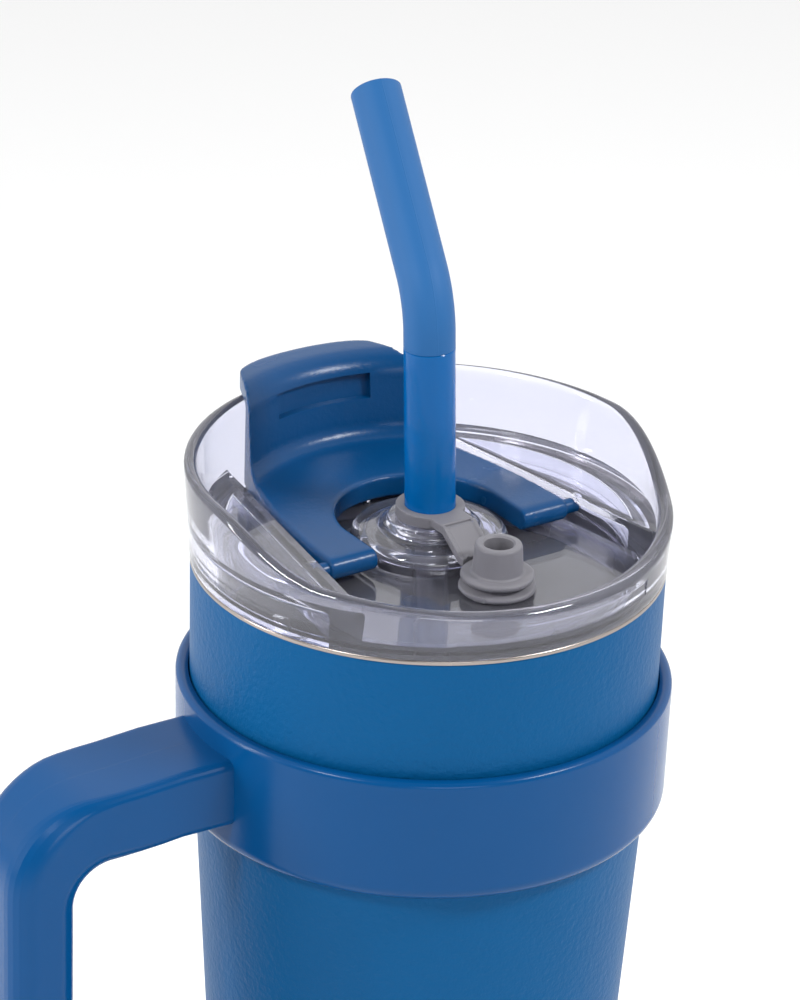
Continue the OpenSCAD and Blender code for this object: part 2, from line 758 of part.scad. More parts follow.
module flip_cover() {
    pocket_az = [74, 106];
    pocket_z = [18, 23.5];
    arm_start = u_r + 1;
    arm_gap = 0.6;
    color(blue) in_lid() {
        difference() {
            union() {
                translate([0, 0, plate_low]) linear_extrude(plate_t) intersection() {
                    cover_plan();
                    circle(r = wall_in_low);
                }
                intersection() {
                    cover_wall();
                    translate([0, 0, plate_low]) linear_extrude(lip_top) intersection() {
                        cover_plan();
                        tongue_plan();
                    }
                }
                for (side = [-1, 1]) translate([0, -hinge_y, hinge_z]) rotate([0, 90 * side, 0]) {
                    translate([0, 0, u_r]) cylinder(r = plate_t / 2, h = cover_half - u_r - arm_gap);
                    translate([0, 0, arm_start]) cylinder(r = trunnion_r, h = trunnion_end - arm_start);
                }
            }
            translate([0, 0, plate_low - 1]) linear_extrude(plate_t + 2) u_plan();
            // pull recess in the wall's inner face
            rotate_extrude(angle = pocket_az[1] - pocket_az[0], start = pocket_az[0]) polygon([
                [wall_foot_r - 1, pocket_z[0]], [wall_in_r(pocket_z[0]) + pocket_d, pocket_z[0]],
                [wall_in_r(pocket_z[1]) + pocket_d, pocket_z[1]], [wall_foot_r - 1, pocket_z[1]]]);
        }
    }
}

module sip_seal() {
    color(grey) in_lid() {
        translate([0, 0, floor_z + touch]) linear_extrude(plate_low - floor_z - 2 * touch)
            sip_plan(seal_over);
        translate([0, 0, floor_z - seal_depth]) linear_extrude(seal_depth + 0.1) sip_plan(-seal_gap);
    }
}

outer_shell();
inner_liner();
shell_floor();
getter();
vacuum_seal();
base_ring();
handle();
handle_bracket();
bracket_screw();
screw_cap();
lid_shell();
lid_gasket();
straw_grommet();
tether_strap();
stopper();
flip_cover();
sip_seal();
straw_tube();
straw_lower();
straw_mouthpiece();
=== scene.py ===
"""Looks of an insulated tumbler with a flip-cover straw lid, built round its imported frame.

Shapes are modelled in millimetres and stored in metres. The lid's pieces are modelled in the
lid's own frame (sip side +Y, heights from the shell's top edge) and turned into place.
"""

import sys
import json
import logging
import math
from collections.abc import Callable
from dataclasses import dataclass, field, replace
from enum import Enum

import bmesh
import bpy
from mathutils import Matrix, Vector


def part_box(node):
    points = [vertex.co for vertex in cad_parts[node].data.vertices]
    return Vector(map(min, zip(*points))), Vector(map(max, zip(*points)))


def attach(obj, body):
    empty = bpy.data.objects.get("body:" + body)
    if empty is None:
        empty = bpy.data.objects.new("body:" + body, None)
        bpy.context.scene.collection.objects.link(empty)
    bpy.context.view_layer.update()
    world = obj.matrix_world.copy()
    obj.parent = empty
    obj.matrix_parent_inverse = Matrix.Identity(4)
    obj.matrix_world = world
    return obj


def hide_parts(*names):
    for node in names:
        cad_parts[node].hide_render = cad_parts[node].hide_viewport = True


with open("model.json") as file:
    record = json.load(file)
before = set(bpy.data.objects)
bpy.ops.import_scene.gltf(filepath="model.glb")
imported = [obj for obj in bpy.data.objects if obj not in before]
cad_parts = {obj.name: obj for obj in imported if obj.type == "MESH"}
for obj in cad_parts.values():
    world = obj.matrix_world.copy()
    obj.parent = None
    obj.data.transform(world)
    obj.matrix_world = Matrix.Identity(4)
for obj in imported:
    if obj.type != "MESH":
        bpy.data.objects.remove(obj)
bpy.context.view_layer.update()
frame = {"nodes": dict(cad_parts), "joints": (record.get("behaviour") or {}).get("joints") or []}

LOG = logging.getLogger("tumbler")
MM = 0.001
Point2 = tuple[float, float]
Point3 = tuple[float, float, float]
Mesh, Vert, Edge, Face = bmesh.types.BMesh, bmesh.types.BMVert, bmesh.types.BMEdge, bmesh.types.BMFace
Thing, Material = bpy.types.Object, bpy.types.Material
Tree, Node, Socket = bpy.types.NodeTree, bpy.types.Node, bpy.types.NodeSocket
Feed = Socket | float | None


# ------------------------------------------------------------------ modelling


def arc(cx: float, cy: float, r: float, a0: float, a1: float, n: int = 6) -> list[Point2]:
    """Points along an arc.

    Args:
        cx, cy: The arc's centre.
        r: Its radius.
        a0, a1: First and last angle, in degrees.
        n: Number of straight pieces.

    Returns:
        n + 1 points.
    """
    turns = [math.radians(a0 + (a1 - a0) * i / n) for i in range(n + 1)]
    return [(cx + r * math.cos(t), cy + r * math.sin(t)) for t in turns]


class Solid:
    """A closed shape under construction, in millimetres."""

    def __init__(self, bm: Mesh) -> None:
        """Takes over a bmesh."""
        self.bm = bm

    @classmethod
    def spun(cls, profile: list[Point2], steps: int = 180, sector: tuple[float, float] | None = None,
             closed: bool = True) -> "Solid":
        """Turns a profile of (radius, height) points about Z.

        Args:
            profile: The points, in order.
            steps: Steps of a full turn.
            sector: First and last angle in degrees, or None for a full turn.
            closed: Whether the last point joins the first. A profile that starts and ends on the
                axis stays open.

        Returns:
            The closed solid.
        """
        bm = bmesh.new()
        start, end = sector or (0.0, 360.0)
        verts = [bm.verts.new((r, 0, z)) for r, z in profile]
        pairs = list(zip(verts, verts[1:])) + ([(verts[-1], verts[0])] if closed else [])
        edges = [bm.edges.new(pair) for pair in pairs]
        first = Matrix.Rotation(math.radians(start), 3, "Z")
        bmesh.ops.rotate(bm, verts=verts, cent=(0, 0, 0), matrix=first)
        geom = [*verts, *edges]
        if sector:
            geom.append(bm.faces.new(verts))
        count = max(2, round(steps * (end - start) / 360))
        bmesh.ops.spin(bm, geom=geom, cent=(0, 0, 0), axis=(0, 0, 1), dvec=(0, 0, 0),
                       angle=math.radians(end - start), steps=count, use_merge=not sector)
        return cls(bm).tidied()

    @classmethod
    def prism(cls, outline: list[Point2], z0: float, z1: float) -> "Solid":
        """Raises an outline in the XY plane from z0 to z1."""
        bm = bmesh.new()
        face = bm.faces.new([bm.verts.new((x, y, z0)) for x, y in outline])
        raised = bmesh.ops.extrude_face_region(bm, geom=[face], use_keep_orig=True)["geom"]
        top = [v for v in raised if isinstance(v, Vert)]
        bmesh.ops.translate(bm, verts=top, vec=(0, 0, z1 - z0))
        return cls(bm).tidied()

    @classmethod
    def cushioned(cls, outline: list[Point2], width: float, radii: list[float], steps: int = 6) -> "Solid":
        """Raises an outline into a plate centred on z = 0 whose long edges are round.

        Args:
            outline: The plate's outline.
            width: Its full thickness.
            radii: Edge radius at each point of the outline.
            steps: Layers in each rounding.

        Returns:
            The closed solid.
        """
        area = sum(a[0] * b[1] - b[0] * a[1] for a, b in zip(outline, outline[1:] + outline[:1]))
        inward = []
        for i, (x, y) in enumerate(outline):
            (x0, y0), (x1, y1) = outline[i - 1], outline[(i + 1) % len(outline)]
            normal = Vector((y0 - y1, x1 - x0)).normalized() * math.copysign(1, area)
            inward.append(normal)
        angles = [math.pi / 2 * k / steps for k in range(steps + 1)]
        layers = [(-1, t) for t in angles] + [(1, t) for t in reversed(angles)]

        def level(side: int, t: float) -> list[Vector]:
            """Points of one layer."""
            return [Vector((x + n.x * r * (1 - math.sin(t)), y + n.y * r * (1 - math.sin(t)),
                            side * (width / 2 - r * (1 - math.cos(t)))))
                    for (x, y), n, r in zip(outline, inward, radii)]

        bm = bmesh.new()
        verts = [bm.verts.new(co) for co in level(*layers[0])]
        face = bm.faces.new(verts)
        for i, layer in enumerate(layers[1:]):
            geom = bmesh.ops.extrude_face_region(bm, geom=[face], use_keep_orig=i == 0)["geom"]
            face = next(g for g in geom if isinstance(g, Face))
            places = {tuple(v.co): co for v, co in zip(verts, level(*layer))}
            fresh = {tuple(v.co): v for v in face.verts}
            verts = [fresh[tuple(v.co)] for v in verts]
            for vert in verts:
                vert.co = places[tuple(vert.co)]
        return cls(bm).tidied()

    @classmethod
    def rod(cls, radius: float, depth: float, segments: int = 64, tip: float | None = None) -> "Solid":
        """A cylinder or cone on Z, from 0 to depth."""
        bm = bmesh.new()
        bmesh.ops.create_cone(bm, cap_ends=True, segments=segments, radius1=radius,
                              radius2=radius if tip is None else tip, depth=depth,
                              matrix=Matrix.Translation((0, 0, depth / 2)))
        return cls(bm)

    @classmethod
    def block(cls, low: Point3, high: Point3) -> "Solid":
        """A box between two corners."""
        bm = bmesh.new()
        size = [b - a for a, b in zip(low, high)]
        mid = [(a + b) / 2 for a, b in zip(low, high)]
        bmesh.ops.create_cube(bm, size=1.0, matrix=Matrix.Translation(mid) @ Matrix.Diagonal((*size, 1)))
        return cls(bm)

    def tidied(self) -> "Solid":
        """Merges doubles and turns the faces outwards."""
        bmesh.ops.remove_doubles(self.bm, verts=self.bm.verts, dist=1e-4)
        bmesh.ops.recalc_face_normals(self.bm, faces=self.bm.faces)
        return self

    def moved(self, matrix: Matrix) -> "Solid":
        """Transforms the whole solid."""
        bmesh.ops.transform(self.bm, matrix=matrix, verts=self.bm.verts)
        return self

    def shifted(self, x: float, y: float, z: float) -> "Solid":
        """Moves the whole solid along."""
        return self.moved(Matrix.Translation((x, y, z)))

    def rounded(self, offset: float, segments: int = 3, above: float = 40.0,
                keep: Callable[[Edge], bool] | None = None) -> "Solid":
        """Rounds sharp edges.

        Args:
            offset: Width of the rounding.
            segments: Its number of facets.
            above: The smallest angle between faces that counts as sharp, in degrees.
            keep: A test of an edge; only edges that pass it are rounded.

        Returns:
            The same solid.
        """
        limit = math.radians(above)
        edges = [e for e in self.bm.edges
                 if len(e.link_faces) == 2 and e.calc_face_angle(0) > limit and (keep is None or keep(e))]
        bmesh.ops.bevel(self.bm, geom=edges, offset=offset, offset_type="OFFSET", affect="EDGES",
                        segments=segments, profile=0.5, material=-1, clamp_overlap=True)
        return self

    def made(self, name: str) -> Thing:
        """Hands the shape over as a linked object, still in millimetres."""
        mesh = bpy.data.meshes.new(name)
        self.bm.to_mesh(mesh)
        self.bm.free()
        obj = bpy.data.objects.new(name, mesh)
        bpy.context.scene.collection.objects.link(obj)
        return obj


def bake_modifiers(obj: Thing) -> None:
    """Applies an object's modifiers to its mesh."""
    bpy.context.view_layer.update()
    final = bpy.data.meshes.new_from_object(obj.evaluated_get(bpy.context.evaluated_depsgraph_get()))
    obj.modifiers.clear()
    old, obj.data = obj.data, final
    bpy.data.meshes.remove(old)


class Join(Enum):
    """How a shape meets another."""

    ADD = "UNION"
    CUT = "DIFFERENCE"
    COMMON = "INTERSECT"


def combine(obj: Thing, join: Join, *others: Solid) -> Thing:
    """Adds, cuts or intersects an object with other solids, one after the other."""
    for i, other in enumerate(others):
        tool = other.made(f"{obj.name}_tool{i}")
        modifier = obj.modifiers.new("join", "BOOLEAN")
        modifier.operation = join.value
        modifier.solver = "EXACT"
        modifier.object = tool
        bake_modifiers(obj)
        bpy.data.objects.remove(tool)
    return obj


def melt(obj: Thing, voxel: float, rounds: int) -> Thing:
    """Fuses an object into one even skin and softens every edge, as a moulded part has."""
    remesh = obj.modifiers.new("fuse", "REMESH")
    remesh.mode = "VOXEL"
    remesh.voxel_size = voxel
    soften = obj.modifiers.new("soften", "SMOOTH")
    soften.factor = 0.5
    soften.iterations = rounds
    bake_modifiers(obj)
    return obj


def place(obj: Thing, body: str, finish: "Finish", replaces: tuple[str, ...] = (),
          at: Matrix | None = None, sharp: float = 32.0) -> Thing:
    """Puts a finished piece into the frame, in metres, and dresses it.

    Args:
        obj: The piece, in millimetres.
        body: The CAD body that it rides on.
        finish: Its finish.
        replaces: The CAD nodes that it stands for.
        at: Where its own frame lies in the tumbler's.
        sharp: Edges over this angle, in degrees, keep a crease.

    Returns:
        The same object.
    """
    obj.data.transform(Matrix.Scale(MM, 4) @ (at or Matrix.Identity(4)))
    obj.data.shade_smooth()
    obj.data.set_sharp_from_angle(angle=math.radians(sharp))
    flat = obj.modifiers.new("flat", "WEIGHTED_NORMAL")
    flat.keep_sharp = True
    bake_modifiers(obj)
    obj.data.materials.clear()
    obj.data.materials.append(finish.material())
    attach(obj, body)
    if replaces:
        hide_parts(*replaces)
    LOG.info("%s: %d faces on %s, %s", obj.name, len(obj.data.polygons), body, finish.slot)
    return obj


# ------------------------------------------------------------------ finishes


def node_group(name: str, inputs: dict[str, float], outputs: dict[str, str]) -> Tree:
    """Makes an empty shader node group.

    Args:
        name: Its name.
        inputs: Each float input with its default value.
        outputs: Each output with its socket type.

    Returns:
        The node tree, with a group input and output.
    """
    tree = bpy.data.node_groups.new(name, "ShaderNodeTree")
    for label, value in inputs.items():
        socket = tree.interface.new_socket(label, in_out="INPUT", socket_type="NodeSocketFloat")
        socket.default_value = value
    for label, kind in outputs.items():
        tree.interface.new_socket(label, in_out="OUTPUT", socket_type=kind)
    tree.nodes.new("NodeGroupInput")
    tree.nodes.new("NodeGroupOutput")
    return tree


def maths(tree: Tree, operation: str, a: Feed, b: Feed = None, c: Feed = None) -> Socket:
    """Adds a Math node fed by sockets or numbers, and returns its output."""
    node = tree.nodes.new("ShaderNodeMath")
    node.operation = operation
    for socket, value in zip(node.inputs, (a, b, c)):
        if isinstance(value, (int, float)):
            socket.default_value = value
        elif value is not None:
            tree.links.new(value, socket)
    return node.outputs[0]


def noise(tree: Tree, vector: Socket, scale: Socket | float, detail: float) -> Socket:
    """Adds a Noise texture and returns its value, which is near 0.5 on average."""
    node = tree.nodes.new("ShaderNodeTexNoise")
    node.inputs["Detail"].default_value = detail
    tree.links.new(vector, node.inputs["Vector"])
    if isinstance(scale, (int, float)):
        node.inputs["Scale"].default_value = scale
    else:
        tree.links.new(scale, node.inputs["Scale"])
    return node.outputs["Fac"]


COARSE_SHARE = 0.31  # cells of the coarse grain for each fine one
PATCH_CELLS = 42.0  # slow drifts of colour and gloss, per metre


def surface_grain() -> Tree:
    """The fine texture that every moulded or coated surface here has, built once.

    Returns:
        A group with inputs Grain (cells per metre) and Spread, and outputs Height and Patch.
    """
    name = "surface_grain"
    if name in bpy.data.node_groups:
        return bpy.data.node_groups[name]
    tree = node_group(name, {"Grain": 1500.0, "Spread": 0.5},
                      {"Height": "NodeSocketFloat", "Patch": "NodeSocketFloat"})
    source, sink = tree.nodes["Group Input"], tree.nodes["Group Output"]
    place_at = tree.nodes.new("ShaderNodeTexCoord").outputs["Object"]
    fine = noise(tree, place_at, source.outputs["Grain"], 2.0)
    coarse = noise(tree, place_at, maths(tree, "MULTIPLY", source.outputs["Grain"], COARSE_SHARE), 1.0)
    mixed = maths(tree, "ADD", maths(tree, "MULTIPLY", fine, source.outputs["Spread"]), coarse)
    tree.links.new(mixed, sink.inputs["Height"])
    tree.links.new(noise(tree, place_at, PATCH_CELLS, 3.0), sink.inputs["Patch"])
    return tree


@dataclass(frozen=True)
class Finish:
    """A surface finish: base colour, gloss and fine texture.

    Attributes:
        grain: Cells of the fine texture per metre.
        bump, depth: Its strength, and its height in metres.
        patch, tint: How far roughness and colour drift over the surface.
    """

    slot: str
    name: str
    color: Point3
    roughness: float = 0.4
    metallic: float = 0.0
    grain: float = 1500.0
    bump: float = 0.0
    depth: float = 0.00002
    patch: float = 0.04
    tint: float = 0.06
    specular: float = 0.5
    sheen: float = 0.0

    def material(self) -> Material:
        """Builds the material once and returns it."""
        if self.name in bpy.data.materials:
            return bpy.data.materials[self.name]
        material = bpy.data.materials.new(self.name)
        material.use_nodes = True
        tree = material.node_tree
        shader = tree.nodes["Principled BSDF"]
        shader.inputs["Metallic"].default_value = self.metallic
        shader.inputs["Specular IOR Level"].default_value = self.specular
        shader.inputs["Sheen Weight"].default_value = self.sheen
        shader.inputs["Sheen Roughness"].default_value = 0.45
        grain = tree.nodes.new("ShaderNodeGroup")
        grain.node_tree = surface_grain()
        grain.inputs["Grain"].default_value = self.grain
        self.paint(tree, shader, grain)
        bump = tree.nodes.new("ShaderNodeBump")
        bump.inputs["Strength"].default_value = self.bump
        bump.inputs["Distance"].default_value = self.depth
        tree.links.new(self.relief(tree, grain), bump.inputs["Height"])
        tree.links.new(bump.outputs["Normal"], shader.inputs["Normal"])
        return material

    def paint(self, tree: Tree, shader: Node, grain: Node) -> None:
        """Colour and roughness, drifting a little over the surface."""
        mix = tree.nodes.new("ShaderNodeMix")
        mix.data_type = "RGBA"
        low = [c * (1 - self.tint) for c in self.color]
        high = [min(1.0, c * (1 + self.tint)) for c in self.color]
        mix.inputs[6].default_value = (*low, 1)
        mix.inputs[7].default_value = (*high, 1)
        tree.links.new(grain.outputs["Patch"], mix.inputs[0])
        tree.links.new(mix.outputs[2], shader.inputs["Base Color"])
        low_gloss = self.roughness - self.patch
        drift = maths(tree, "MULTIPLY_ADD", grain.outputs["Patch"], 2 * self.patch, low_gloss)
        tree.links.new(drift, shader.inputs["Roughness"])

    def relief(self, tree: Tree, grain: Node) -> Socket:
        """Height of the fine texture."""
        return grain.outputs["Height"]


@dataclass(frozen=True)
class PartedFinish(Finish):
    """A moulded finish with a thin parting line where the XZ plane of its own turned frame crosses it."""

    turn: Point3 = (0.0, 0.0, 0.0)
    shift: Point3 = (0.0, 0.0, 0.0)
    line: float = 0.00014
    rise: float = 6.0
    beyond: float = 0.0535

    def relief(self, tree: Tree, grain: Node) -> Socket:
        """Fine texture, and a ridge along the parting plane beyond a distance from the axis."""
        split = tree.nodes.new("ShaderNodeSeparateXYZ")
        turned = tree.nodes.new("ShaderNodeMapping")
        turned.inputs["Rotation"].default_value = self.turn
        turned.inputs["Location"].default_value = self.shift
        tree.links.new(tree.nodes.new("ShaderNodeTexCoord").outputs["Object"], turned.inputs["Vector"])
        tree.links.new(turned.outputs["Vector"], split.inputs["Vector"])
        aside = maths(tree, "ABSOLUTE", split.outputs["Y"])
        away = maths(tree, "MINIMUM", maths(tree, "DIVIDE", aside, self.line), 1.0)
        ridge = maths(tree, "SUBTRACT", 1.0, away)
        reach = maths(tree, "GREATER_THAN", maths(tree, "MULTIPLY", split.outputs["X"], -1.0), self.beyond)
        strong = maths(tree, "MULTIPLY", maths(tree, "MULTIPLY", ridge, reach), self.rise)
        return maths(tree, "ADD", grain.outputs["Height"], strong)


@dataclass(frozen=True)
class ClearPlastic(Finish):
    """Polished clear plastic, with the faintest waviness of a moulding."""

    ior: float = 1.45
    clear: float = 0.955

    def material(self) -> Material:
        """Builds the material once and returns it."""
        fresh = self.name not in bpy.data.materials
        material = super().material()
        if fresh:
            shader = material.node_tree.nodes["Principled BSDF"]
            shader.inputs["Transmission Weight"].default_value = self.clear
            shader.inputs["IOR"].default_value = self.ior
        return material


@dataclass(frozen=True)
class BrushedSteel(Finish):
    """Steel with fine lines that run round the Z axis."""

    stretch: float = 0.004
    lines: float = 2400.0

    def relief(self, tree: Tree, grain: Node) -> Socket:
        """Height of lines stretched round the axis."""
        split = tree.nodes.new("ShaderNodeSeparateXYZ")
        tree.links.new(tree.nodes.new("ShaderNodeTexCoord").outputs["Object"], split.inputs["Vector"])
        angle = maths(tree, "ARCTAN2", split.outputs["Y"], split.outputs["X"])
        around = maths(tree, "MULTIPLY", angle, self.stretch)
        joined = tree.nodes.new("ShaderNodeCombineXYZ")
        tree.links.new(around, joined.inputs["X"])
        tree.links.new(split.outputs["Z"], joined.inputs["Z"])
        return noise(tree, joined.outputs["Vector"], self.lines, 2.0)


POWDER = Finish("powder_blue", "powder_coat_blue", (0.0006, 0.071, 0.200), 0.42,
                grain=2300, bump=1.0, depth=0.00018, tint=0.05, specular=0.09)
HANDLE = PartedFinish("handle_blue", "satin_blue_plastic", (0.0005, 0.054, 0.178), 0.23,
                      grain=2600, bump=0.16, depth=0.00006, tint=0.04, specular=0.16)
CAP = Finish("handle_blue", "satin_blue_cap", (0.0005, 0.054, 0.178), 0.34,
             grain=2600, bump=0.12, depth=0.00005, specular=0.2)
COVER = Finish("cover_blue", "matte_blue_plastic", (0.0004, 0.044, 0.142), 0.26,
               grain=3000, bump=0.5, depth=0.00008, tint=0.05, specular=0.22)
TUBE = Finish("tube_blue", "gloss_blue_tube", (0.0006, 0.086, 0.28), 0.11,
              grain=260, bump=0.10, depth=0.0001, tint=0.10, specular=0.16)
MOUTH = PartedFinish("mouth_blue", "matte_blue_silicone", (0.013, 0.094, 0.262), 0.55, grain=1800,
                     bump=0.25, depth=0.00004, tint=0.04, specular=0.2, sheen=0.1, beyond=-1.0)
GREY = Finish("grey_silicone", "matte_grey_silicone", (0.138, 0.135, 0.153), 0.55,
              grain=2200, bump=0.2, depth=0.00004, tint=0.04, sheen=0.1)
CLEAR = ClearPlastic("clear_plastic", "clear_polished_plastic", (0.82, 0.83, 0.96), 0.012,
                     grain=60, bump=0.05, depth=0.0002, patch=0.008, tint=0.008)
SMOKE = ClearPlastic("clear_plastic", "clear_tube_plastic", (0.70, 0.69, 0.74), 0.22,
                     grain=200, bump=0.1, depth=0.0001, patch=0.02, tint=0.02)
# Painted shade: this steel colour is darker and warmer than bare brushed steel, so that the closed cup's
# inside, seen through the lid, looks as dark as its shade.
STEEL_PAINTED_SHADE = BrushedSteel("steel", "brushed_stainless_painted_shade", (0.31, 0.275, 0.255), 0.27,
                     metallic=1.0, bump=0.25, depth=0.00003, tint=0.05)
RUBBER = Finish("base_rubber", "black_rubber", (0.025, 0.025, 0.028), 0.7,
                grain=700, bump=0.3, depth=0.0001)
SINTER = Finish("getter_grey", "sintered_grey", (0.10, 0.10, 0.10), 0.75, metallic=0.6,
                grain=1200, bump=0.8, depth=0.0001)
PAPER = Finish("floor", "pale_paper", (0.92, 0.92, 0.92), 0.9, tint=0.0, patch=0.0, specular=0.1)


# ------------------------------------------------------------------ frame facts


@dataclass
class Setting:
    """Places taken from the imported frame, in millimetres."""

    rim: float = 0.0
    cup_h: float = 0.0
    base: float = 37.0
    lid: Matrix = field(default_factory=Matrix)
    straw: Matrix = field(default_factory=Matrix)
    hinge: Vector = field(default_factory=Vector)
    lean_z: float = 0.0

    @classmethod
    def read(cls) -> "Setting":
        """Works the places out from node boxes and joints."""
        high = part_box("outer_shell")[1]
        joints = {j["name"]: j for j in frame["joints"]}
        flip, pull, turn = joints["cover_flip"], joints["straw_pull"], joints["straw_turn"]
        angle = math.atan2(flip["axis"][1], flip["axis"][0])
        lid = Matrix.Translation((0, 0, high.z / MM)) @ Matrix.Rotation(angle, 4, "Z")
        hinge = lid.inverted() @ (Vector(flip["pos_m"]) / MM)
        pivot = Vector(turn["pos_m"]) / MM
        lean = Vector((0, 0, 1)).rotation_difference(Vector(pull["axis"])).to_matrix().to_4x4()
        straw = Matrix.Translation(pivot) @ lean @ Matrix.Translation(-pivot)
        straw = straw @ Matrix.Translation((0, 0, high.z / MM)) @ Matrix.Rotation(angle, 4, "Z")
        return cls(rim=high.x / MM, cup_h=high.z / MM, lid=lid, straw=straw, hinge=hinge,
                   lean_z=pivot.z - high.z / MM)


# ------------------------------------------------------------------ cup


@dataclass
class Cup:
    """The steel cup: outer shell, inner liner, floor, pump-out seal and foot ring."""

    at: Setting
    shoulder_drop: float = 30.0
    shoulder_draft: float = 0.3
    shell_wall: float = 0.9
    liner_wall: float = 0.8
    vacuum: float = 3.2
    lip: float = 0.9
    mouth_h: float = 20.0
    recess: float = 4.0
    edge_z: float = 1.2
    floor_gap: float = 7.0

    def wall_r(self, z: float) -> float:
        """Outer radius of the shell at a height."""
        shoulder_z = self.at.cup_h - self.shoulder_drop
        shoulder_r = self.at.rim - self.shoulder_draft
        if z > shoulder_z:
            return shoulder_r + self.shoulder_draft * (z - shoulder_z) / self.shoulder_drop
        return self.at.base + (shoulder_r - self.at.base) * z / shoulder_z

    def shell(self) -> None:
        """The coated outer wall, rolled in at its foot."""
        top, z0, corner = self.at.cup_h, self.edge_z, 2.4
        shoulder_z = top - self.shoulder_drop
        r0, wall = self.wall_r(z0), self.shell_wall
        shoulder_r = self.at.rim - self.shoulder_draft
        cone = [(self.wall_r(z), z) for z in (20, 60, 100, 140, 180, shoulder_z - 4)]
        bend = [(shoulder_r - 0.08, shoulder_z - 1.4), (shoulder_r - 0.02, shoulder_z),
                (shoulder_r + 0.01, shoulder_z + 1.4)]
        profile = [
            *arc(r0 - corner, z0 + corner, corner, -90, -3, 8), *cone, *bend,
            (self.at.rim - 0.02, top - 2.0), *arc(self.at.rim - 0.4, top - 0.4, 0.4, 0, 90, 4),
            (self.at.rim - wall, top), (shoulder_r - wall, shoulder_z),
            (self.wall_r(self.recess) - wall, self.recess + corner),
            (self.wall_r(self.recess) - corner, z0 + wall), (r0 - corner - wall, z0 + wall),
            (r0 - corner - wall, z0)]
        place(Solid.spun(profile, 256).made("shell_skin"), "cup", POWDER, ("outer_shell",))

    def liner(self) -> None:
        """The bare inner wall, whose lip covers the shell's top edge."""
        top, t = self.at.cup_h, self.liner_wall
        floor_z = self.recess + 2 * self.shell_wall + self.floor_gap
        mouth = top - self.mouth_h

        def inner(z: float) -> float:
            """Inner radius below the mouth."""
            return self.wall_r(z) - self.shell_wall - self.vacuum - t

        lip_r = self.at.rim - self.shell_wall - t - 0.02
        corner = 6.0
        foot = inner(floor_z + corner)
        out = self.at.rim + 0.1
        profile = [
            (0, floor_z), *arc(foot + t - corner, floor_z + corner, corner, -90, 0, 8),
            (inner(mouth) + t, mouth), (lip_r + t, top - 0.4), (lip_r + t, top + 0.02), (out, top + 0.02),
            *arc(out - 0.35, top + self.lip - 0.35, 0.35, 0, 90, 4),
            *arc(lip_r + 0.35, top + self.lip - 0.35, 0.35, 90, 180, 4),
            (lip_r, top), (inner(mouth) + 0.4, mouth + 1.0), (inner(mouth), mouth - 1.0),
            (foot, floor_z + corner),
            *arc(foot + t - corner, floor_z + corner, corner - t, 0, -90, 8), (0, floor_z + t)]
        place(Solid.spun(profile, 256, closed=False).made("liner_skin"), "cup", STEEL_PAINTED_SHADE, ("inner_liner",))

    def foot(self) -> None:
        """The ring that the cup stands on, with a shallow groove in its tread."""
        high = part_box("base_ring")[1]
        out, top = high.x / MM, high.z / MM
        inside, edge = out - 9.0, 0.6
        profile = [(inside, top), *arc(inside + edge, edge, edge, 180, 270, 4),
                   (inside + 2.6, 0), (inside + 3.0, 0.35), (out - 3.0, 0.35), (out - 2.6, 0),
                   *arc(out - edge, edge, edge, -90, 0, 4), (out, top)]
        place(Solid.spun(profile, 160).made("foot_ring"), "cup", RUBBER, ("base_ring",))

    def underside(self) -> None:
        """The steel disc under the vacuum space, with its sealed dimple."""
        low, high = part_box("shell_floor")
        z, r, t, dimple, rise, port = low.z / MM, high.x / MM, self.shell_wall, 9.0, 1.2, 1.5
        profile = [(port, z + rise), (dimple - 1, z + rise), (dimple + 0.4, z + rise * 0.8),
                   (dimple + 1.6, z + 0.1), (dimple + 2.4, z), (r, z), (r, z + t), (dimple + 2.4, z + t),
                   (dimple + 0.4, z + rise + t - 0.2), (dimple - 1, z + rise + t), (port, z + rise + t)]
        place(Solid.spun(profile, 128).made("floor_disc"), "cup", STEEL_PAINTED_SHADE, ("shell_floor",))
        low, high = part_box("vacuum_seal")
        r, z = high.x / MM, low.z / MM
        profile = [(0, z), *arc(r - 0.5, z + 0.5, 0.5, -90, 0, 4), (r, z + 0.78), (1.48, z + 0.78),
                   (1.48, high.z / MM), (0, high.z / MM)]
        place(Solid.spun(profile, 48, closed=False).made("seal_spot"), "cup", STEEL_PAINTED_SHADE, ("vacuum_seal",))

    def build(self) -> None:
        """Makes the cup's pieces and dresses the hidden ones."""
        self.shell()
        self.liner()
        self.foot()
        self.underside()
        for node, finish in {"getter": SINTER, "handle_bracket": STEEL_PAINTED_SHADE, "bracket_screw": STEEL_PAINTED_SHADE}.items():
            mesh = frame["nodes"][node].data
            mesh.materials.clear()
            mesh.materials.append(finish.material())


# ------------------------------------------------------------------ handle


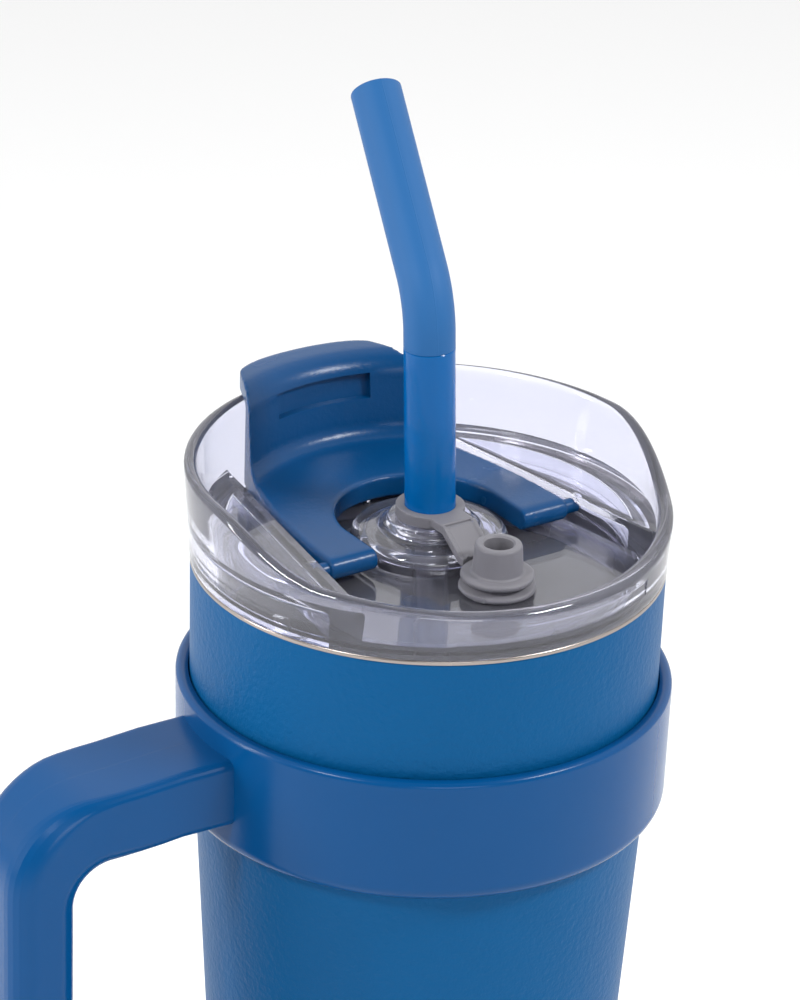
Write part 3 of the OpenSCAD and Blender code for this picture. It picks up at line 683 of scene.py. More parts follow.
@dataclass
class Handle:
    """The collar round the cup and the grip, one moulding."""

    cup: Cup
    fit: float = 0.1
    wall: float = 2.9
    drop: float = 25.7
    height: float = 28.3
    taper: float = 0.35
    low_round: float = 3.6
    width: float = 24.6
    arm: float = 15.5
    low_arm: float = 14.0
    grip: float = 14.6
    fall: float = 2.6
    fingers: float = 97.0
    corner: float = 20.0
    inner_corner: float = 9.0
    bore_r: float = 2.1
    well_r: float = 4.22
    edge_tight: float = 2.0
    edge_full: float = 5.6
    inner_tight: float = 2.4
    inner_full: float = 4.4

    def __post_init__(self) -> None:
        """Works out the heights from the cup's top edge down."""
        self.reach = -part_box("handle")[0].x / MM
        self.top = self.cup.at.cup_h - self.drop
        self.arm_top = self.top - 5.3
        self.arm_under = self.arm_top - self.arm
        self.low_top = self.arm_under - 2 * self.fall - self.fingers
        self.low_under = self.low_top - self.low_arm

    def collar(self) -> Solid:
        """The ring, thin at its rounded lower edge."""
        low = self.top - self.height
        out = self.cup.wall_r(self.top) + self.fit + self.wall
        out_low, r = out - self.taper, self.low_round
        shoulder_z = self.cup.at.cup_h - self.cup.shoulder_drop
        inside = [(self.cup.wall_r(z) + self.fit, z) for z in (shoulder_z, low)]
        profile = [(inside[1][0], low), *arc(out_low - r, low + r, r, -90, 0, 8),
                   *arc(out - 1.3, self.top - 1.3, 1.3, 0, 90, 5),
                   (self.cup.wall_r(self.top) + self.fit + 0.9, self.top),
                   (self.cup.wall_r(self.top) + self.fit + 0.25, self.top - 0.3),
                   (self.cup.wall_r(self.top) + self.fit, self.top - 1.0), inside[0]]
        return Solid.spun(profile, 256)

    def side(self) -> list[Point2]:
        """The grip's side view: reach to the right, height upwards."""
        root = self.cup.at.rim - 8
        foot = self.cup.wall_r(self.low_under) - 10
        inner_x = self.reach - self.grip - self.inner_corner
        n = 12
        lower = [(foot + (60 - foot) * i / 2, self.low_under - self.fall * (1 - i / 2)) for i in range(2)]
        corners = [
            (root, self.arm_top), (62, self.arm_top - 0.9), (72, self.arm_top - self.fall * 0.75),
            *arc(self.reach - self.corner, self.arm_top - self.fall - self.corner, self.corner, 88, 0, n),
            (self.reach, 170), (self.reach, 140),
            *arc(self.reach - self.corner, self.low_under + self.corner, self.corner, 0, -88, n),
            *reversed(lower), (foot, self.low_top - self.fall), (60, self.low_top - self.fall * 0.4),
            *arc(inner_x, self.low_top + self.inner_corner, self.inner_corner, -88, 0, n),
            (self.reach - self.grip, 140), (self.reach - self.grip, 170),
            *arc(inner_x, self.arm_under - self.fall - self.inner_corner, self.inner_corner, 0, 88, n),
            (62, self.arm_under - 0.6), (root, self.arm_under)]
        outline = []
        for (x0, z0), (x1, z1) in zip(corners, corners[1:] + corners[:1]):
            parts = math.ceil(math.hypot(x1 - x0, z1 - z0) / 6)
            outline += [(x0 + (x1 - x0) * i / parts, z0 + (z1 - z0) * i / parts) for i in range(parts)]
        return outline

    def edge_radius(self, point: Point2) -> float:
        """Radius of the grip's long edges at a point of its side view, full only at the hand."""
        x, z = point
        inner = x < self.reach - 5 and self.low_top - self.fall - 1 < z < self.arm_under + 1
        start, length = (66, 20) if inner else (self.reach - self.corner - 4, self.corner + 2)
        ease = min(1.0, max(0.0, (x - start) / length))
        full = ease * ease * (3 - 2 * ease)
        tight, wide = (self.inner_tight, self.inner_full) if inner else (self.edge_tight, self.edge_full)
        return tight + (wide - tight) * full

    def bow(self) -> Thing:
        """The bent grip, its ends cut to the cup."""
        side = self.side()
        solid = Solid.cushioned(side, self.width, [self.edge_radius(point) for point in side])
        solid.moved(Matrix.Rotation(math.pi, 4, "Z") @ Matrix.Rotation(math.pi / 2, 4, "X"))
        gap, cut = self.fit + 0.3, self.low_top + 10
        foot = Solid.rod(self.cup.at.base + gap, cut, 256, tip=self.cup.wall_r(cut) + gap)
        root = Solid.rod(self.cup.at.rim + self.fit + 0.6, self.arm + 20, 256)
        root.shifted(0, 0, self.arm_under - 10)
        return combine(solid.made("grip"), Join.CUT, foot, root)

    def build(self) -> None:
        """Joins ring and grip, and cuts the foot to the shell."""
        obj = self.bow()
        combine(obj, Join.ADD, self.collar())
        tab_low, tab_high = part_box("handle_bracket")
        screw_low, screw_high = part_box("bracket_screw")
        mid = (screw_low.x + screw_high.x) / 2 / MM
        slot = Solid.block((tab_low.x / MM - 0.1, tab_low.y / MM - 0.1, tab_low.z / MM - 0.1),
                           (-40, tab_high.y / MM + 0.1, tab_high.z / MM + 0.1))
        head_z, well_z = screw_low.z / MM, self.low_under - 2 * self.fall
        bore = Solid.rod(self.bore_r, screw_high.z / MM - head_z - 0.7, 32).shifted(mid, 0, head_z + 1)
        well = Solid.rod(self.well_r, head_z + 2.2 - well_z, 48).shifted(mid, 0, well_z)
        combine(obj, Join.CUT, slot, bore, well)
        obj.name = "handle_moulding"
        place(obj, "cup", HANDLE, ("handle",), sharp=28)
        low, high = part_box("screw_cap")
        r, t = (high.x - low.x) / 2 / MM, (high.z - low.z) / MM
        profile = [(0, 0), (r - 0.5, 0), *arc(r - 0.4, 0.4, 0.4, -90, 0, 3), (r, t), (0, t)]
        cap = Solid.spun(profile, 64, closed=False).shifted(mid, 0, low.z / MM)
        place(cap.made("screw_plug"), "cup", CAP, ("screw_cap",))


# ------------------------------------------------------------------ lid


@dataclass
class Lid:
    """The clear push-in lid: wall with a sweeping rim, channel, side shelves, boss and skirt."""

    at: Setting
    rim_high: float = 22.3
    rim_low: float = 10.8
    rim_extra: float = 1.6
    rim_wall: float = 2.6
    draft: float = 0.134
    flange: float = 0.95
    floor: float = 3.0
    floor_t: float = 2.0
    shelf: float = 9.5
    half: float = 31.0
    splay: float = 0.16
    boss: float = 16.6
    boss_z: float = 7.2
    hub: float = 9.0
    hub_z: float = 9.6
    neck: float = 6.75
    skirt: float = 13.0
    skirt_r: float = 45.9
    skirt_t: float = 2.4
    sip_y: float = 37.0
    sip: Point2 = (20.0, 7.0)
    vent_y: float = 24.0
    vent_r: float = 1.0
    socket_r: float = 1.68

    def out_r(self, z: float) -> float:
        """Radius of the wall's outer face."""
        return self.at.rim + 0.05 + self.rim_extra * (z - self.flange) / (self.rim_high - self.flange)

    def in_r(self, z: float) -> float:
        """Radius of the wall's inner face."""
        return self.at.rim + 0.05 + self.rim_extra - self.rim_wall - self.draft * (self.rim_high - z)

    def rim_top(self, y: float) -> float:
        """Height of the rim: level over the sip side, then a soft step down to the front."""
        back, front, low = 5.0, -28.0, self.rim_low + 2.6
        if y >= back:
            return self.rim_high
        if y >= front:
            return low + (self.rim_high - low) * (1 + math.cos(math.pi * (back - y) / (back - front))) / 2
        return low + (self.rim_low - low) * (front - y) / (self.at.rim + front)

    def wall(self) -> Solid:
        """The wall and skirt, spun level and then pulled down along the rim's sweep."""
        bead, base_z = self.rim_wall / 2, 4.0
        bead_z = self.rim_high - bead
        mid_r = (self.out_r(bead_z) + self.in_r(bead_z)) / 2
        deep = [(self.in_r(z), z) for z in (18, 14, 10, 7, base_z, self.floor)]
        steep = [(self.out_r(z), z) for z in (base_z, 7, 10, 14, 18)]
        groove_in, skirt_in, low = self.skirt_r - 1.2, self.skirt_r - self.skirt_t, -self.skirt
        profile = [
            (49.7, self.flange), (self.out_r(1.2) - 0.05, self.flange), (self.out_r(1.3) + 0.1, 1.25),
            (self.out_r(2.0) + 0.1, 2.0), (self.out_r(2.4), 2.4), *steep,
            *arc(mid_r, bead_z, bead, 0, 180, 10), *deep,
            (self.in_r(2.0), 2.0), (skirt_in, 2.0), (skirt_in, low + 0.6),
            (skirt_in + 0.5, low), (self.skirt_r - 0.6, low), (self.skirt_r, low + 0.6),
            (self.skirt_r, -8.0), (groove_in, -8.0), (groove_in, -2.6), (self.skirt_r, -2.6),
            (self.skirt_r, self.flange - 0.6), (self.skirt_r + 0.6, self.flange)]
        solid = Solid.spun(profile, 288)
        for vert in solid.bm.verts:
            x, y, z = vert.co
            r = math.hypot(x, y)
            if z <= base_z + 1e-4:
                continue
            end_z = self.rim_top(y) - bead
            if z >= bead_z - 1e-4:
                thick = (self.out_r(end_z) - self.in_r(end_z)) / (2 * bead)
                end_z = self.rim_top(y) - bead * thick
                new_r = (self.out_r(end_z) + self.in_r(end_z)) / 2 + (r - mid_r) * thick
                new_z = end_z + (z - bead_z) * thick
            else:
                new_z = base_z + (z - base_z) * (end_z - base_z) / (bead_z - base_z)
                face = self.out_r if r > (self.out_r(z) + self.in_r(z)) / 2 else self.in_r
                new_r = r + face(new_z) - face(z)
            vert.co = (x * new_r / r, y * new_r / r, new_z)
        return solid

    def edge_x(self, y: float) -> float:
        """Half width of the channel."""
        return self.half - self.splay * y

    def shelf_plan(self, side: int, inset: float, r: float, n: int = 28) -> list[Point2]:
        """Outline of the crescent between the channel's wall and a circle.

        Args:
            side: 1 for the right shelf, -1 for the left.
            inset: Distance from the channel's wall.
            r: The circle's radius.
            n: Straight pieces along the circle.

        Returns:
            The outline's points.
        """
        k, c = self.splay, self.half + inset
        root = math.sqrt((k * c) ** 2 - (1 + k * k) * (c * c - r * r))
        low, high = (k * c - root) / (1 + k * k), (k * c + root) / (1 + k * k)
        a0, a1 = math.asin(low / r), math.asin(high / r)
        turns = [a0 + (a1 - a0) * i / n for i in range(n + 1)]
        return [(side * r * math.cos(t), r * math.sin(t)) for t in turns]

    def shelves(self) -> list[Solid]:
        """The two crescent shelves, softly edged along the channel."""
        plans = [self.shelf_plan(side, 0.0, self.in_r(self.shelf) + 1.1) for side in (1, -1)]
        return [Solid.prism(plan, self.floor - 1.0, self.shelf).rounded(
            0.7, 3, keep=lambda e: min(v.co.z for v in e.verts) > self.shelf - 0.1) for plan in plans]

    def cores(self) -> list[Solid]:
        """The hollows under the shelves."""
        plans = [self.shelf_plan(side, 2.8, self.skirt_r - self.skirt_t - 0.6) for side in (1, -1)]
        return [Solid.prism(plan, -1.0, self.shelf - 2.8).rounded(
            1.2, 4, keep=lambda e: min(v.co.z for v in e.verts) > self.shelf - 3) for plan in plans]

    def boss_ring(self) -> Solid:
        """The stepped dome that carries the grommet, hollow below."""
        edge, skin, foot = 2.4, 2.8, self.floor - self.floor_t + 0.4
        web = self.hub_z - 3.0
        profile = [
            (self.boss, foot), *arc(self.boss - edge, self.boss_z - edge, edge, 0, 82, 7),
            (self.hub + 3.2, self.boss_z + 0.25), *arc(self.hub + 2.4, self.boss_z + 1.6, 1.4, 270, 190, 4),
            *arc(self.hub - 0.5, self.hub_z - 0.6, 0.6, 10, 90, 4), (self.neck, self.hub_z),
            (self.neck, web), (self.hub - 0.6, web), (self.hub + 0.8, self.boss_z - skin),
            *arc(self.boss - skin - 1, self.boss_z - skin - 1, 1.0, 90, 0, 3), (self.boss - skin, foot)]
        return Solid.spun(profile, 160)

    def sip_outline(self, grow: float = 0.0) -> list[Point2]:
        """The sip hole's outline, grown or shrunk evenly."""
        length, width = self.sip
        half, r = (length - width) / 2, width / 2 + grow
        right = [(half + x, self.sip_y + y) for x, y in arc(0, 0, r, -90, 90, 12)]
        return right + [(-half + x, self.sip_y + y) for x, y in arc(0, 0, r, 90, 270, 12)]

    def cuts(self) -> list[Solid]:
        """Everything cut away: cores, sip hole, vent, hinge sockets, snap-in grooves, thumb notch."""
        y, z = self.at.hinge.y, self.at.hinge.z
        wall_x = self.edge_x(y)
        tools = [*self.cores(), Solid.prism(self.sip_outline(), 0, 5).tidied(),
                 Solid.rod(self.vent_r, 4, 24).shifted(0, self.vent_y, 0)]
        for side in (1, -1):
            turn = Matrix.Rotation(side * math.pi / 2, 4, "Y")
            seat = Matrix.Translation((side * (wall_x - 1), y, z)) @ turn
            socket = Solid.rod(self.socket_r, 2.9, 40).moved(seat)
            near, far = wall_x - 1, wall_x + 0.96
            groove = Solid.block((min(side * near, side * far), y - 14, z - 1.1),
                                 (max(side * near, side * far), y, z + 1.1))
            tools += [socket, groove]
        notch = arc(51.4, 4.4, 1.2, 180, 270, 3) + [(54, 3.2), (54, 8.2)] + arc(51.4, 7.0, 1.2, 90, 180, 3)
        tools.append(Solid.spun(notch, 288, sector=(-118, -62)))
        return tools

    def build(self) -> None:
        """Fuses the lid's solids, cuts the openings and places the result."""
        obj = self.wall().made("lid_body")
        inside, out, under = self.boss - 2.0, self.in_r(self.floor) + 0.2, self.floor - self.floor_t
        floor = Solid.spun([(inside, under), (out, under), (out, self.floor), (inside, self.floor)], 288)
        combine(obj, Join.ADD, floor, *self.shelves(), self.boss_ring())
        combine(obj, Join.CUT, *self.cuts())
        place(obj, "lid", CLEAR, ("lid_shell",), self.at.lid, sharp=24)


# ------------------------------------------------------------------ flip cover


@dataclass
class FlipCover:
    """The blue cover: forked plate on two trunnions, upright wall and a lip over the rim."""

    at: Setting
    lid: Lid
    top: float = 9.2
    thick: float = 4.9
    half: float = 29.7
    bow_r: float = 140.0
    bow_y: float = -10.0
    fork_r: float = 18.4
    fork_y: float = 2.6
    wall_low: float = 40.5
    wall_high: float = 43.0
    wall_out: float = 46.0
    lip_low: float = 22.9
    lip_top: float = 27.4
    lip_r: float = 54.6
    tongue_r: float = 28.6
    pocket: float = 1.7
    pocket_z: Point2 = (18.0, 23.5)
    brow: float = 5.5
    pin_r: float = 1.6

    def half_width(self, y: float) -> float:
        """Half the cover's width at a distance from the lid's centre."""
        bow = self.half - self.bow_r + math.sqrt(self.bow_r ** 2 - (y - self.bow_y) ** 2)
        centre = self.lip_r - self.tongue_r
        if y <= centre:
            return bow
        return min(bow, math.sqrt(max(0.0, self.tongue_r ** 2 - (y - centre) ** 2)))

    def plan(self) -> list[Point2]:
        """Outline of the whole cover from above."""
        start, n = self.at.hinge.y, 40
        ys = [start + (self.lip_r - start) * math.sin(math.pi / 2 * i / n) for i in range(n)]
        right = [(self.half_width(y), y) for y in ys]
        return right + [(0.0, self.lip_r)] + [(-x, y) for x, y in reversed(right)]

    def wall(self) -> Solid:
        """The upright wall with its filleted foot and overhanging lip."""
        foot_r, low, root = self.wall_low + 1, self.top - self.thick, 4.0
        profile = [
            (foot_r - root - 4, low), (self.wall_out, low), (self.wall_out, self.lip_low),
            (self.lip_r - 1.2, self.lip_low), *arc(self.lip_r - 2, self.lip_top - 2.4, 2, -40, 0, 2),
            *arc(self.lip_r - 2.2, self.lip_top - 2.2, 2.2, 0, 90, 5),
            *arc(self.wall_high + self.brow, self.lip_top - self.brow, self.brow, 90, 180, 10),
            *arc(foot_r - root, self.top + root, root, 0, -90, 8), (foot_r - root - 4, self.top)]
        return Solid.spun(profile, 240, sector=(52, 128))

    def laid(self, rod: Solid, side: int, start: float) -> Solid:
        """Lays a rod on the hinge's line, from a distance from the middle outwards."""
        turn = Matrix.Translation(self.at.hinge) @ Matrix.Rotation(side * math.pi / 2, 4, "Y")
        return rod.moved(turn @ Matrix.Translation((0, 0, start)))

    def fork(self) -> Solid:
        """The U-shaped opening round the boss."""
        r, y = self.fork_r, self.fork_y
        outline = arc(0, y, r, 0, 180, 36) + [(-r, y - 40), (r, y - 40)]
        return Solid.prism(outline, 0, 12)

    def build(self) -> None:
        """Joins plate, wall, arms and trunnions, softens them and cuts the pull recess."""
        low = self.top - self.thick
        obj = Solid.prism(self.plan(), low, self.lip_top + 1).made("cover_body")
        rim = self.wall_low
        disc = Solid.spun([(0, low), (rim, low), (rim, self.top), (0, self.top)], 200, closed=False)
        base = disc.made("cover_base")
        combine(base, Join.ADD, self.wall())
        bm = bmesh.new()
        bm.from_mesh(base.data)
        bpy.data.objects.remove(base)
        combine(obj, Join.COMMON, Solid(bm))
        combine(obj, Join.CUT, self.fork())
        for side in (1, -1):
            arm = Solid.rod(self.thick / 2, self.half - self.fork_r, 48)
            combine(obj, Join.ADD, self.laid(arm, side, self.fork_r))
        melt(obj, 0.42, 7)
        start, end = self.half - 2, self.lid.edge_x(self.at.hinge.y) + 1.6
        for side in (1, -1):
            pin = Solid.rod(self.pin_r, end - start, 40).rounded(0.3, 2)
            combine(obj, Join.ADD, self.laid(pin, side, start))
        (z0, z1), foot_r = self.pocket_z, self.wall_low + 1
        rise = (self.wall_high - foot_r) / (self.lip_top - self.brow - self.top - 4)
        back = [foot_r + (z - self.top - 4) * rise + self.pocket for z in (z0, z1)]
        outline = [(foot_r - 2, z0), (back[0], z0), (back[1], z1), (foot_r - 2, z1)]
        combine(obj, Join.CUT, Solid.spun(outline, 240, sector=(74, 106)))
        place(obj, "cover", COVER, ("flip_cover",), self.at.lid, sharp=40)
        self.seal()

    def seal(self) -> None:
        """The silicone pad that the cover presses into the sip hole."""
        pad = Solid.prism(self.lid.sip_outline(2.4), self.lid.floor + 0.02, self.top - self.thick - 0.02)
        pad.rounded(0.4, 3, keep=lambda e: max(v.co.z for v in e.verts) < self.lid.floor + 0.1)
        obj = pad.made("sip_pad")
        plug = Solid.prism(self.lid.sip_outline(-0.4), self.lid.floor - 1.4, self.lid.floor + 0.3)
        combine(obj, Join.ADD, plug.rounded(0.3, 2))
        place(obj, "cover", GREY, ("sip_seal",), self.at.lid)


# ------------------------------------------------------------------ silicone


@dataclass
class Silicone:
    """The grey pieces: grommet, strap, stopper and lid gasket."""

    at: Setting
    lid: Lid
    collar_r: float = 7.3
    top: float = 12.2
    straw_r: float = 5.46
    strap_w: float = 8.2
    strap_t: float = 1.4
    rail_w: float = 0.9
    rail_h: float = 0.38
    step: float = 0.5
    fold_y: float = 10.0
    plug_y: float = 25.0
    head_r: float = 8.0
    flange_r: float = 7.7
    stem_r: float = 5.0
    plug_h: float = 10.5

    def grommet(self) -> None:
        """The ring round the straw, its neck in the hub and the start of the strap."""
        low = self.lid.hub_z - 3.02
        under = low - 1.7
        profile = [(0, under), (self.lid.neck + 0.75, under), (self.lid.neck + 1.25, low), (6.7, low),
                   (6.7, self.lid.hub_z + 0.02), (self.collar_r, self.lid.hub_z + 0.02),
                   (self.collar_r, self.top), (0, self.top)]
        obj = Solid.spun(profile, 96, closed=False).made("grommet_ring")
        w, y = self.strap_w / 2, -self.fold_y
        flare = [(-w, y), (w, y), (w, -self.collar_r + 1.2), (self.collar_r - 1, -3.2),
                 (-self.collar_r + 1, -3.2), (-w, -self.collar_r + 1.2)]
        combine(obj, Join.ADD, Solid.prism(flare, self.top - self.strap_t - self.step, self.top - 0.01))
        melt(obj, 0.2, 5)
        hole = Solid.rod(self.straw_r, 40, 96).moved(
            self.at.lid.inverted() @ self.at.straw @ Matrix.Translation((0, 0, -10)))
        combine(obj, Join.CUT, hole)
        place(obj, "lid", GREY, ("straw_grommet",), self.at.lid)

    def strap(self) -> None:
        """The thin strap with raised borders that ends in a rounded pad at the stopper."""
        top, w, t = self.top - self.step, self.strap_w / 2, self.strap_t
        pad = self.lid.floor + 4.5
        y0, y1, y2 = self.fold_y + 0.02, self.lid.boss, self.plug_y - self.flange_r + 1.5
        side = [(y0, top), (y0 + 1, top), (y1, pad + 0.3), (y1 + 0.8, pad), (y2, pad), (y2, pad - t),
                (y1 + 0.5, pad - t), (y1 - 0.3, pad - t + 0.4), (y0 + 0.6, top - t), (y0, top - t)]
        stand = Matrix.Rotation(-math.pi / 2, 4, "Z") @ Matrix.Rotation(math.pi / 2, 4, "X")
        obj = Solid.prism(side, -w, w).moved(stand).made("strap_band")
        crest = side[:5]
        rail = [(x, z + self.rail_h) for x, z in crest] + [(x, z - 0.5) for x, z in reversed(crest)]
        for edge in (-w, w - self.rail_w):
            combine(obj, Join.ADD, Solid.prism(rail, edge, edge + self.rail_w).moved(stand))
        rim = Solid.spun([(1.9, pad - 0.6), (2.9, pad - 0.6), (2.9, pad + 0.42), (1.9, pad + 0.42)], 48)
        combine(obj, Join.ADD, rim.shifted(0, -y1 - 0.2, 0))
        seat = Solid.rod(self.flange_r + 0.02, 20, 96)
        combine(obj, Join.CUT, seat.shifted(0, -self.plug_y, 0))
        melt(obj, 0.16, 4)
        place(obj, "stopper", GREY, ("tether_strap",), self.at.lid)

    def stopper(self) -> None:
        """The stopper on its side of the boss, stem up, with its two flanges and pull tab."""
        r, f, s, h = self.head_r, self.flange_r, self.stem_r, self.plug_h
        profile = [
            (0, 0), (r - 1.0, 0), *arc(r - 0.7, 0.75, 0.7, -60, 60, 6), (r - 1.6, 1.7), (r - 2.2, 2.0),
            (r - 2.3, 2.3), (r - 2.0, 2.55), *arc(f - 0.75, 3.35, 0.75, -60, 75, 6), (s + 1.2, 4.15),
            *arc(s + 0.9, 4.75, 0.6, 270, 184, 4), (s - 0.05, h - 0.7),
            *arc(s - 0.65, h - 0.5, 0.5, 5, 90, 4),
            (s - 1.5, h), (s - 1.9, h - 0.35), (s - 2.0, 3.0), (0, 3.0)]
        obj = Solid.spun(profile, 128, closed=False).made("stopper_plug")
        tab = Solid.block((-1.5, -r - 0.02, 0.1), (1.5, -r + 1.5, 1.4)).rounded(0.35, 2)
        combine(obj, Join.ADD, tab.moved(Matrix.Rotation(math.radians(-62), 4, "Z")))
        place(obj, "stopper", GREY, ("stopper",),
              self.at.lid @ Matrix.Translation((0, -self.plug_y, self.lid.floor + 0.05)))

    def gasket(self) -> None:
        """The ring with two lips in the skirt's groove."""
        low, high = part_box("lid_gasket")
        z0, z1 = low.z / MM - self.at.cup_h, high.z / MM - self.at.cup_h
        back, out = self.lid.skirt_r - 1.18, high.x / MM
        profile = [(back, z0), (out - 1.0, z0), (out - 0.15, z0 + 0.9), (out - 0.1, z0 + 1.4),
                   (out - 1.2, z0 + 2.1), (out - 1.2, z1 - 2.1), (out - 0.1, z1 - 1.4),
                   (out - 0.05, z1 - 0.9), (out - 1.0, z1), (back, z1)]
        place(Solid.spun(profile, 200).made("gasket_ring"), "lid", GREY, ("lid_gasket",), self.at.lid)

    def build(self) -> None:
        """Makes all four."""
        self.grommet()
        self.strap()
        self.stopper()
        self.gasket()


# ------------------------------------------------------------------ straw


@dataclass
class Straw:
    """The rigid tube and its soft bent mouthpiece."""

    at: Setting
    r: float = 5.4
    tube_wall: float = 1.6
    low_wall: float = 0.8
    soft_wall: float = 1.6
    seam: float = 47.8
    neck: float = 2.5
    bend: float = 47.0
    bend_r: float = 16.0
    bend_az: float = 74.0
    tip: float = 42.0

    def foot(self, node: str) -> float:
        """Height of a node's foot in the straw's frame."""
        tilt, lean_z = self.at.straw.to_3x3().col[2], self.at.lean_z
        low_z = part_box(node)[0].z / MM - self.at.cup_h
        r = self.r if node == "straw_tube" else self.r - self.tube_wall
        return (low_z + r * math.hypot(tilt.x, tilt.y) - lean_z) / tilt.z + lean_z

    def tube(self) -> None:
        """The rigid tube with its neck, smoothed at the foot."""
        z0, r, bore = self.foot("straw_tube"), self.r, self.r - self.tube_wall
        neck_r = r - self.tube_wall / 2
        end = self.seam + self.neck
        profile = [(bore, z0 + 0.4), *arc(bore + 0.6, z0 + 0.6, 0.6, 190, 350, 6), (r, z0 + 0.8),
                   *[(r, z0 + (self.seam - z0) * i / 4) for i in (1, 2, 3)], (r, self.seam - 0.25),
                   (r - 0.2, self.seam), (neck_r, self.seam), (neck_r, end), (bore, end)]
        place(Solid.spun(profile, 96).made("straw_body"), "straw", TUBE, ("straw_tube",), self.at.straw)

    def lower(self) -> None:
        """The clear tube below, pushed up into the blue one."""
        z0, end = self.foot("straw_lower"), self.foot("straw_tube") + 9.0
        r = self.r - self.tube_wall - 0.02
        bore = r - self.low_wall
        half = self.low_wall / 2
        profile = [(bore, z0 + half), *arc(bore + half, z0 + half, half, 180, 360, 6), *[
            (r, z0 + (end - z0) * i / 4) for i in (1, 2, 3)], (r, end), (bore, end)]
        place(Solid.spun(profile, 96).made("straw_tail"), "straw", SMOKE, ("straw_lower",), self.at.straw)

    def mouthpiece(self) -> None:
        """Two concentric loops pushed up, round the bend and along the tip, closed at both ends."""
        bm = bmesh.new()
        start = self.seam + 0.02
        rise = self.neck + 0.68
        heads, starts = [], []
        for radius in (self.r, self.r - self.soft_wall):
            level = Matrix.Translation((0, 0, start))
            made = bmesh.ops.create_circle(bm, segments=72, radius=radius, matrix=level)
            loop = list({e for v in made["verts"] for e in v.link_edges})
            starts.append(loop)
            heads.append(self.push(bm, loop, rise))
        bmesh.ops.bridge_loops(bm, edges=[*starts[0], *starts[1]])
        bmesh.ops.bridge_loops(bm, edges=[*heads[0], *heads[1]])
        solid = Solid(bm).tidied()
        bent = Matrix.Rotation(math.radians(self.bend), 3, "Y")
        tip_axis = bent @ Vector((0, 0, 1))
        far = Vector((self.bend_r, 0, start + rise)) + bent @ Vector((-self.bend_r, 0, self.tip))
        solid.rounded(0.5, 4, keep=lambda e: all(abs((v.co - far).dot(tip_axis)) < 0.01 for v in e.verts))
        solid.rounded(0.15, 2, above=60, keep=lambda e: all(abs(v.co.z - start) < 0.01 for v in e.verts))
        stand = self.at.straw @ Matrix.Rotation(math.radians(self.bend_az), 4, "Z")
        back = stand.inverted()
        finish = replace(MOUTH, turn=tuple(back.to_euler()), shift=tuple(back.translation * MM))
        place(solid.made("mouthpiece_soft"), "mouthpiece", finish, ("straw_mouthpiece",), stand, sharp=60)

    def push(self, bm: Mesh, loop: list[Edge], rise: float) -> list[Edge]:
        """Carries one loop along the whole path.

        Args:
            bm: The mesh.
            loop: The loop's edges.
            rise: Length of the first straight.

        Returns:
            The loop's edges at the tip.
        """
        turn = Matrix.Rotation(math.radians(self.bend), 3, "Y")
        loop = self.step(bm, loop, Vector((0, 0, rise)))
        centre = (self.bend_r, 0, self.seam + 0.02 + rise)
        geom = [*loop, *{v for e in loop for v in e.verts}]
        spun = bmesh.ops.spin(bm, geom=geom, cent=centre, axis=(0, 1, 0), dvec=(0, 0, 0),
                              angle=math.radians(self.bend), steps=24)["geom_last"]
        loop = [e for e in spun if isinstance(e, Edge)]
        return self.step(bm, loop, turn @ Vector((0, 0, self.tip)))

    @staticmethod
    def step(bm: Mesh, loop: list[Edge], offset: Vector) -> list[Edge]:
        """Extrudes a loop by an offset and returns the new loop."""
        geom = bmesh.ops.extrude_edge_only(bm, edges=loop)["geom"]
        verts = {v for v in geom if isinstance(v, Vert)}
        bmesh.ops.translate(bm, verts=list(verts), vec=offset)
        return [e for e in geom if isinstance(e, Edge) and all(v in verts for v in e.verts)]

    def build(self) -> None:
        """Makes tubes and mouthpiece."""
        self.tube()
        self.lower()
        self.mouthpiece()


# ------------------------------------------------------------------ studio


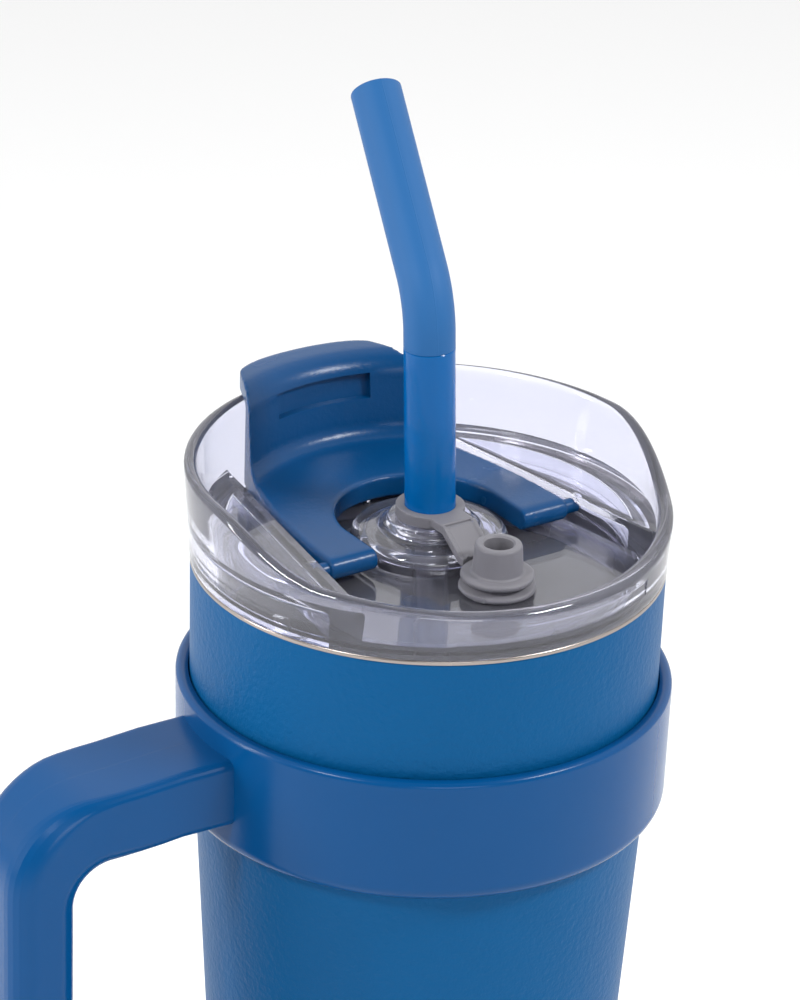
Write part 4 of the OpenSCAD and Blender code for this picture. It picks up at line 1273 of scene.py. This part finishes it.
@dataclass
class Studio:
    """Pale floor, soft lights and the camera."""

    at: Setting
    distance: float = 849.39
    above: float = 413.1
    azimuth: float = -120.0
    yaw: float = -0.428
    pitch: float = 25.239
    roll: float = 2.048
    lens: float = 162.0
    floor_half: float = 40.0
    back_glow: float = 1.25
    front_glow: float = 0.2

    def camera(self) -> None:
        """Puts the camera at its bearing, looking down on the lid."""
        data = bpy.data.cameras.new("camera")
        data.lens = self.lens
        data.sensor_width = 36.0
        data.clip_end = 100.0
        cam = bpy.data.objects.new("camera", data)
        bpy.context.scene.collection.objects.link(cam)
        turn = Matrix.Rotation(math.radians(self.azimuth + 90), 3, "Z")
        yaw, pitch, roll = (math.radians(a) for a in (self.yaw, self.pitch, self.roll))
        level = Vector((math.sin(yaw), math.cos(yaw), 0)) * math.cos(pitch)
        forward = turn @ (level - Vector((0, 0, math.sin(pitch))))
        right = turn @ Vector((math.cos(yaw), -math.sin(yaw), 0))
        up = right.cross(forward)
        x = math.cos(roll) * right + math.sin(roll) * up
        y = -math.sin(roll) * right + math.cos(roll) * up
        place_at = turn @ Vector((0, -self.distance, 0)) + Vector((0, 0, self.at.cup_h + self.above))
        facing = Matrix((x, y, -forward)).transposed().to_4x4()
        cam.matrix_world = Matrix.Translation(place_at * MM) @ facing
        bpy.context.scene.camera = cam

    def floor(self) -> None:
        """A wide pale floor."""
        bm = bmesh.new()
        bmesh.ops.create_grid(bm, x_segments=1, y_segments=1, size=self.floor_half)
        mesh = bpy.data.meshes.new("floor")
        bm.to_mesh(mesh)
        bm.free()
        obj = bpy.data.objects.new("floor", mesh)
        bpy.context.scene.collection.objects.link(obj)
        mesh.materials.append(PAPER.material())

    def softbox(self, name: str, bearing: float, height: float, reach: float, size: Point2,
                power: float) -> None:
        """Adds an area light that faces the lid.

        Args:
            name: The light's name.
            bearing: Degrees to the right of the line from the object to the camera.
            height: Height above the floor, in metres.
            reach: Distance from the object's axis, in metres.
            size: Width and height in metres.
            power: Power in watts.
        """
        data = bpy.data.lights.new(name, "AREA")
        data.shape = "RECTANGLE"
        data.size, data.size_y = size
        data.energy = power
        obj = bpy.data.objects.new(name, data)
        bpy.context.scene.collection.objects.link(obj)
        angle = math.radians(self.azimuth + bearing)
        spot = Vector((reach * math.cos(angle), reach * math.sin(angle), height))
        aim = Vector((0, 0, self.at.cup_h * MM)) - spot
        obj.matrix_world = Matrix.Translation(spot) @ aim.to_track_quat("-Z", "Y").to_matrix().to_4x4()

    def sky(self) -> None:
        """Even white surroundings, dimmer behind the camera so that the front keeps its colour."""
        world = bpy.data.worlds.new("studio")
        bpy.context.scene.world = world
        world.use_nodes = True
        tree = world.node_tree
        background = tree.nodes["Background"]
        coords = tree.nodes.new("ShaderNodeTexCoord")
        angle = math.radians(self.azimuth)
        dot = tree.nodes.new("ShaderNodeVectorMath")
        dot.operation = "DOT_PRODUCT"
        dot.inputs[1].default_value = (math.cos(angle) * 0.85, math.sin(angle) * 0.85, 0.5)
        tree.links.new(coords.outputs["Generated"], dot.inputs[0])
        ramp = tree.nodes.new("ShaderNodeMapRange")
        ramp.interpolation_type = "SMOOTHSTEP"
        ramp.inputs["From Min"].default_value = 0.15
        ramp.inputs["From Max"].default_value = 0.75
        ramp.inputs["To Min"].default_value = self.back_glow
        ramp.inputs["To Max"].default_value = self.front_glow
        tree.links.new(dot.outputs["Value"], ramp.inputs["Value"])
        tree.links.new(ramp.outputs["Result"], background.inputs["Strength"])
        background.inputs["Color"].default_value = (1, 1, 1, 1)

    def build(self) -> None:
        """Sets the whole stage."""
        self.camera()
        self.floor()
        self.sky()
        self.softbox("left_strip", -80, 0.45, 0.9, (0.1, 0.6), 4.0)
        self.softbox("right_box", 70, 1.02, 0.8, (0.3, 0.12), 9.0)
        self.softbox("top_box", -45, 0.95, 0.8, (0.16, 0.16), 5.5)
        self.softbox("low_box", 14, 0.62, 1.25, (0.6, 0.4), 4.0)
        bpy.context.scene.view_settings.view_transform = "Standard"


def main() -> None:
    """Builds the pieces in order."""
    logging.basicConfig(level=logging.INFO, format="%(message)s", stream=sys.stdout)
    at = Setting.read()
    Studio(at).build()
    cup = Cup(at)
    cup.build()
    Handle(cup).build()
    lid = Lid(at)
    lid.build()
    FlipCover(at, lid).build()
    Silicone(at, lid).build()
    Straw(at).build()


if __name__ == "__main__":
    main()
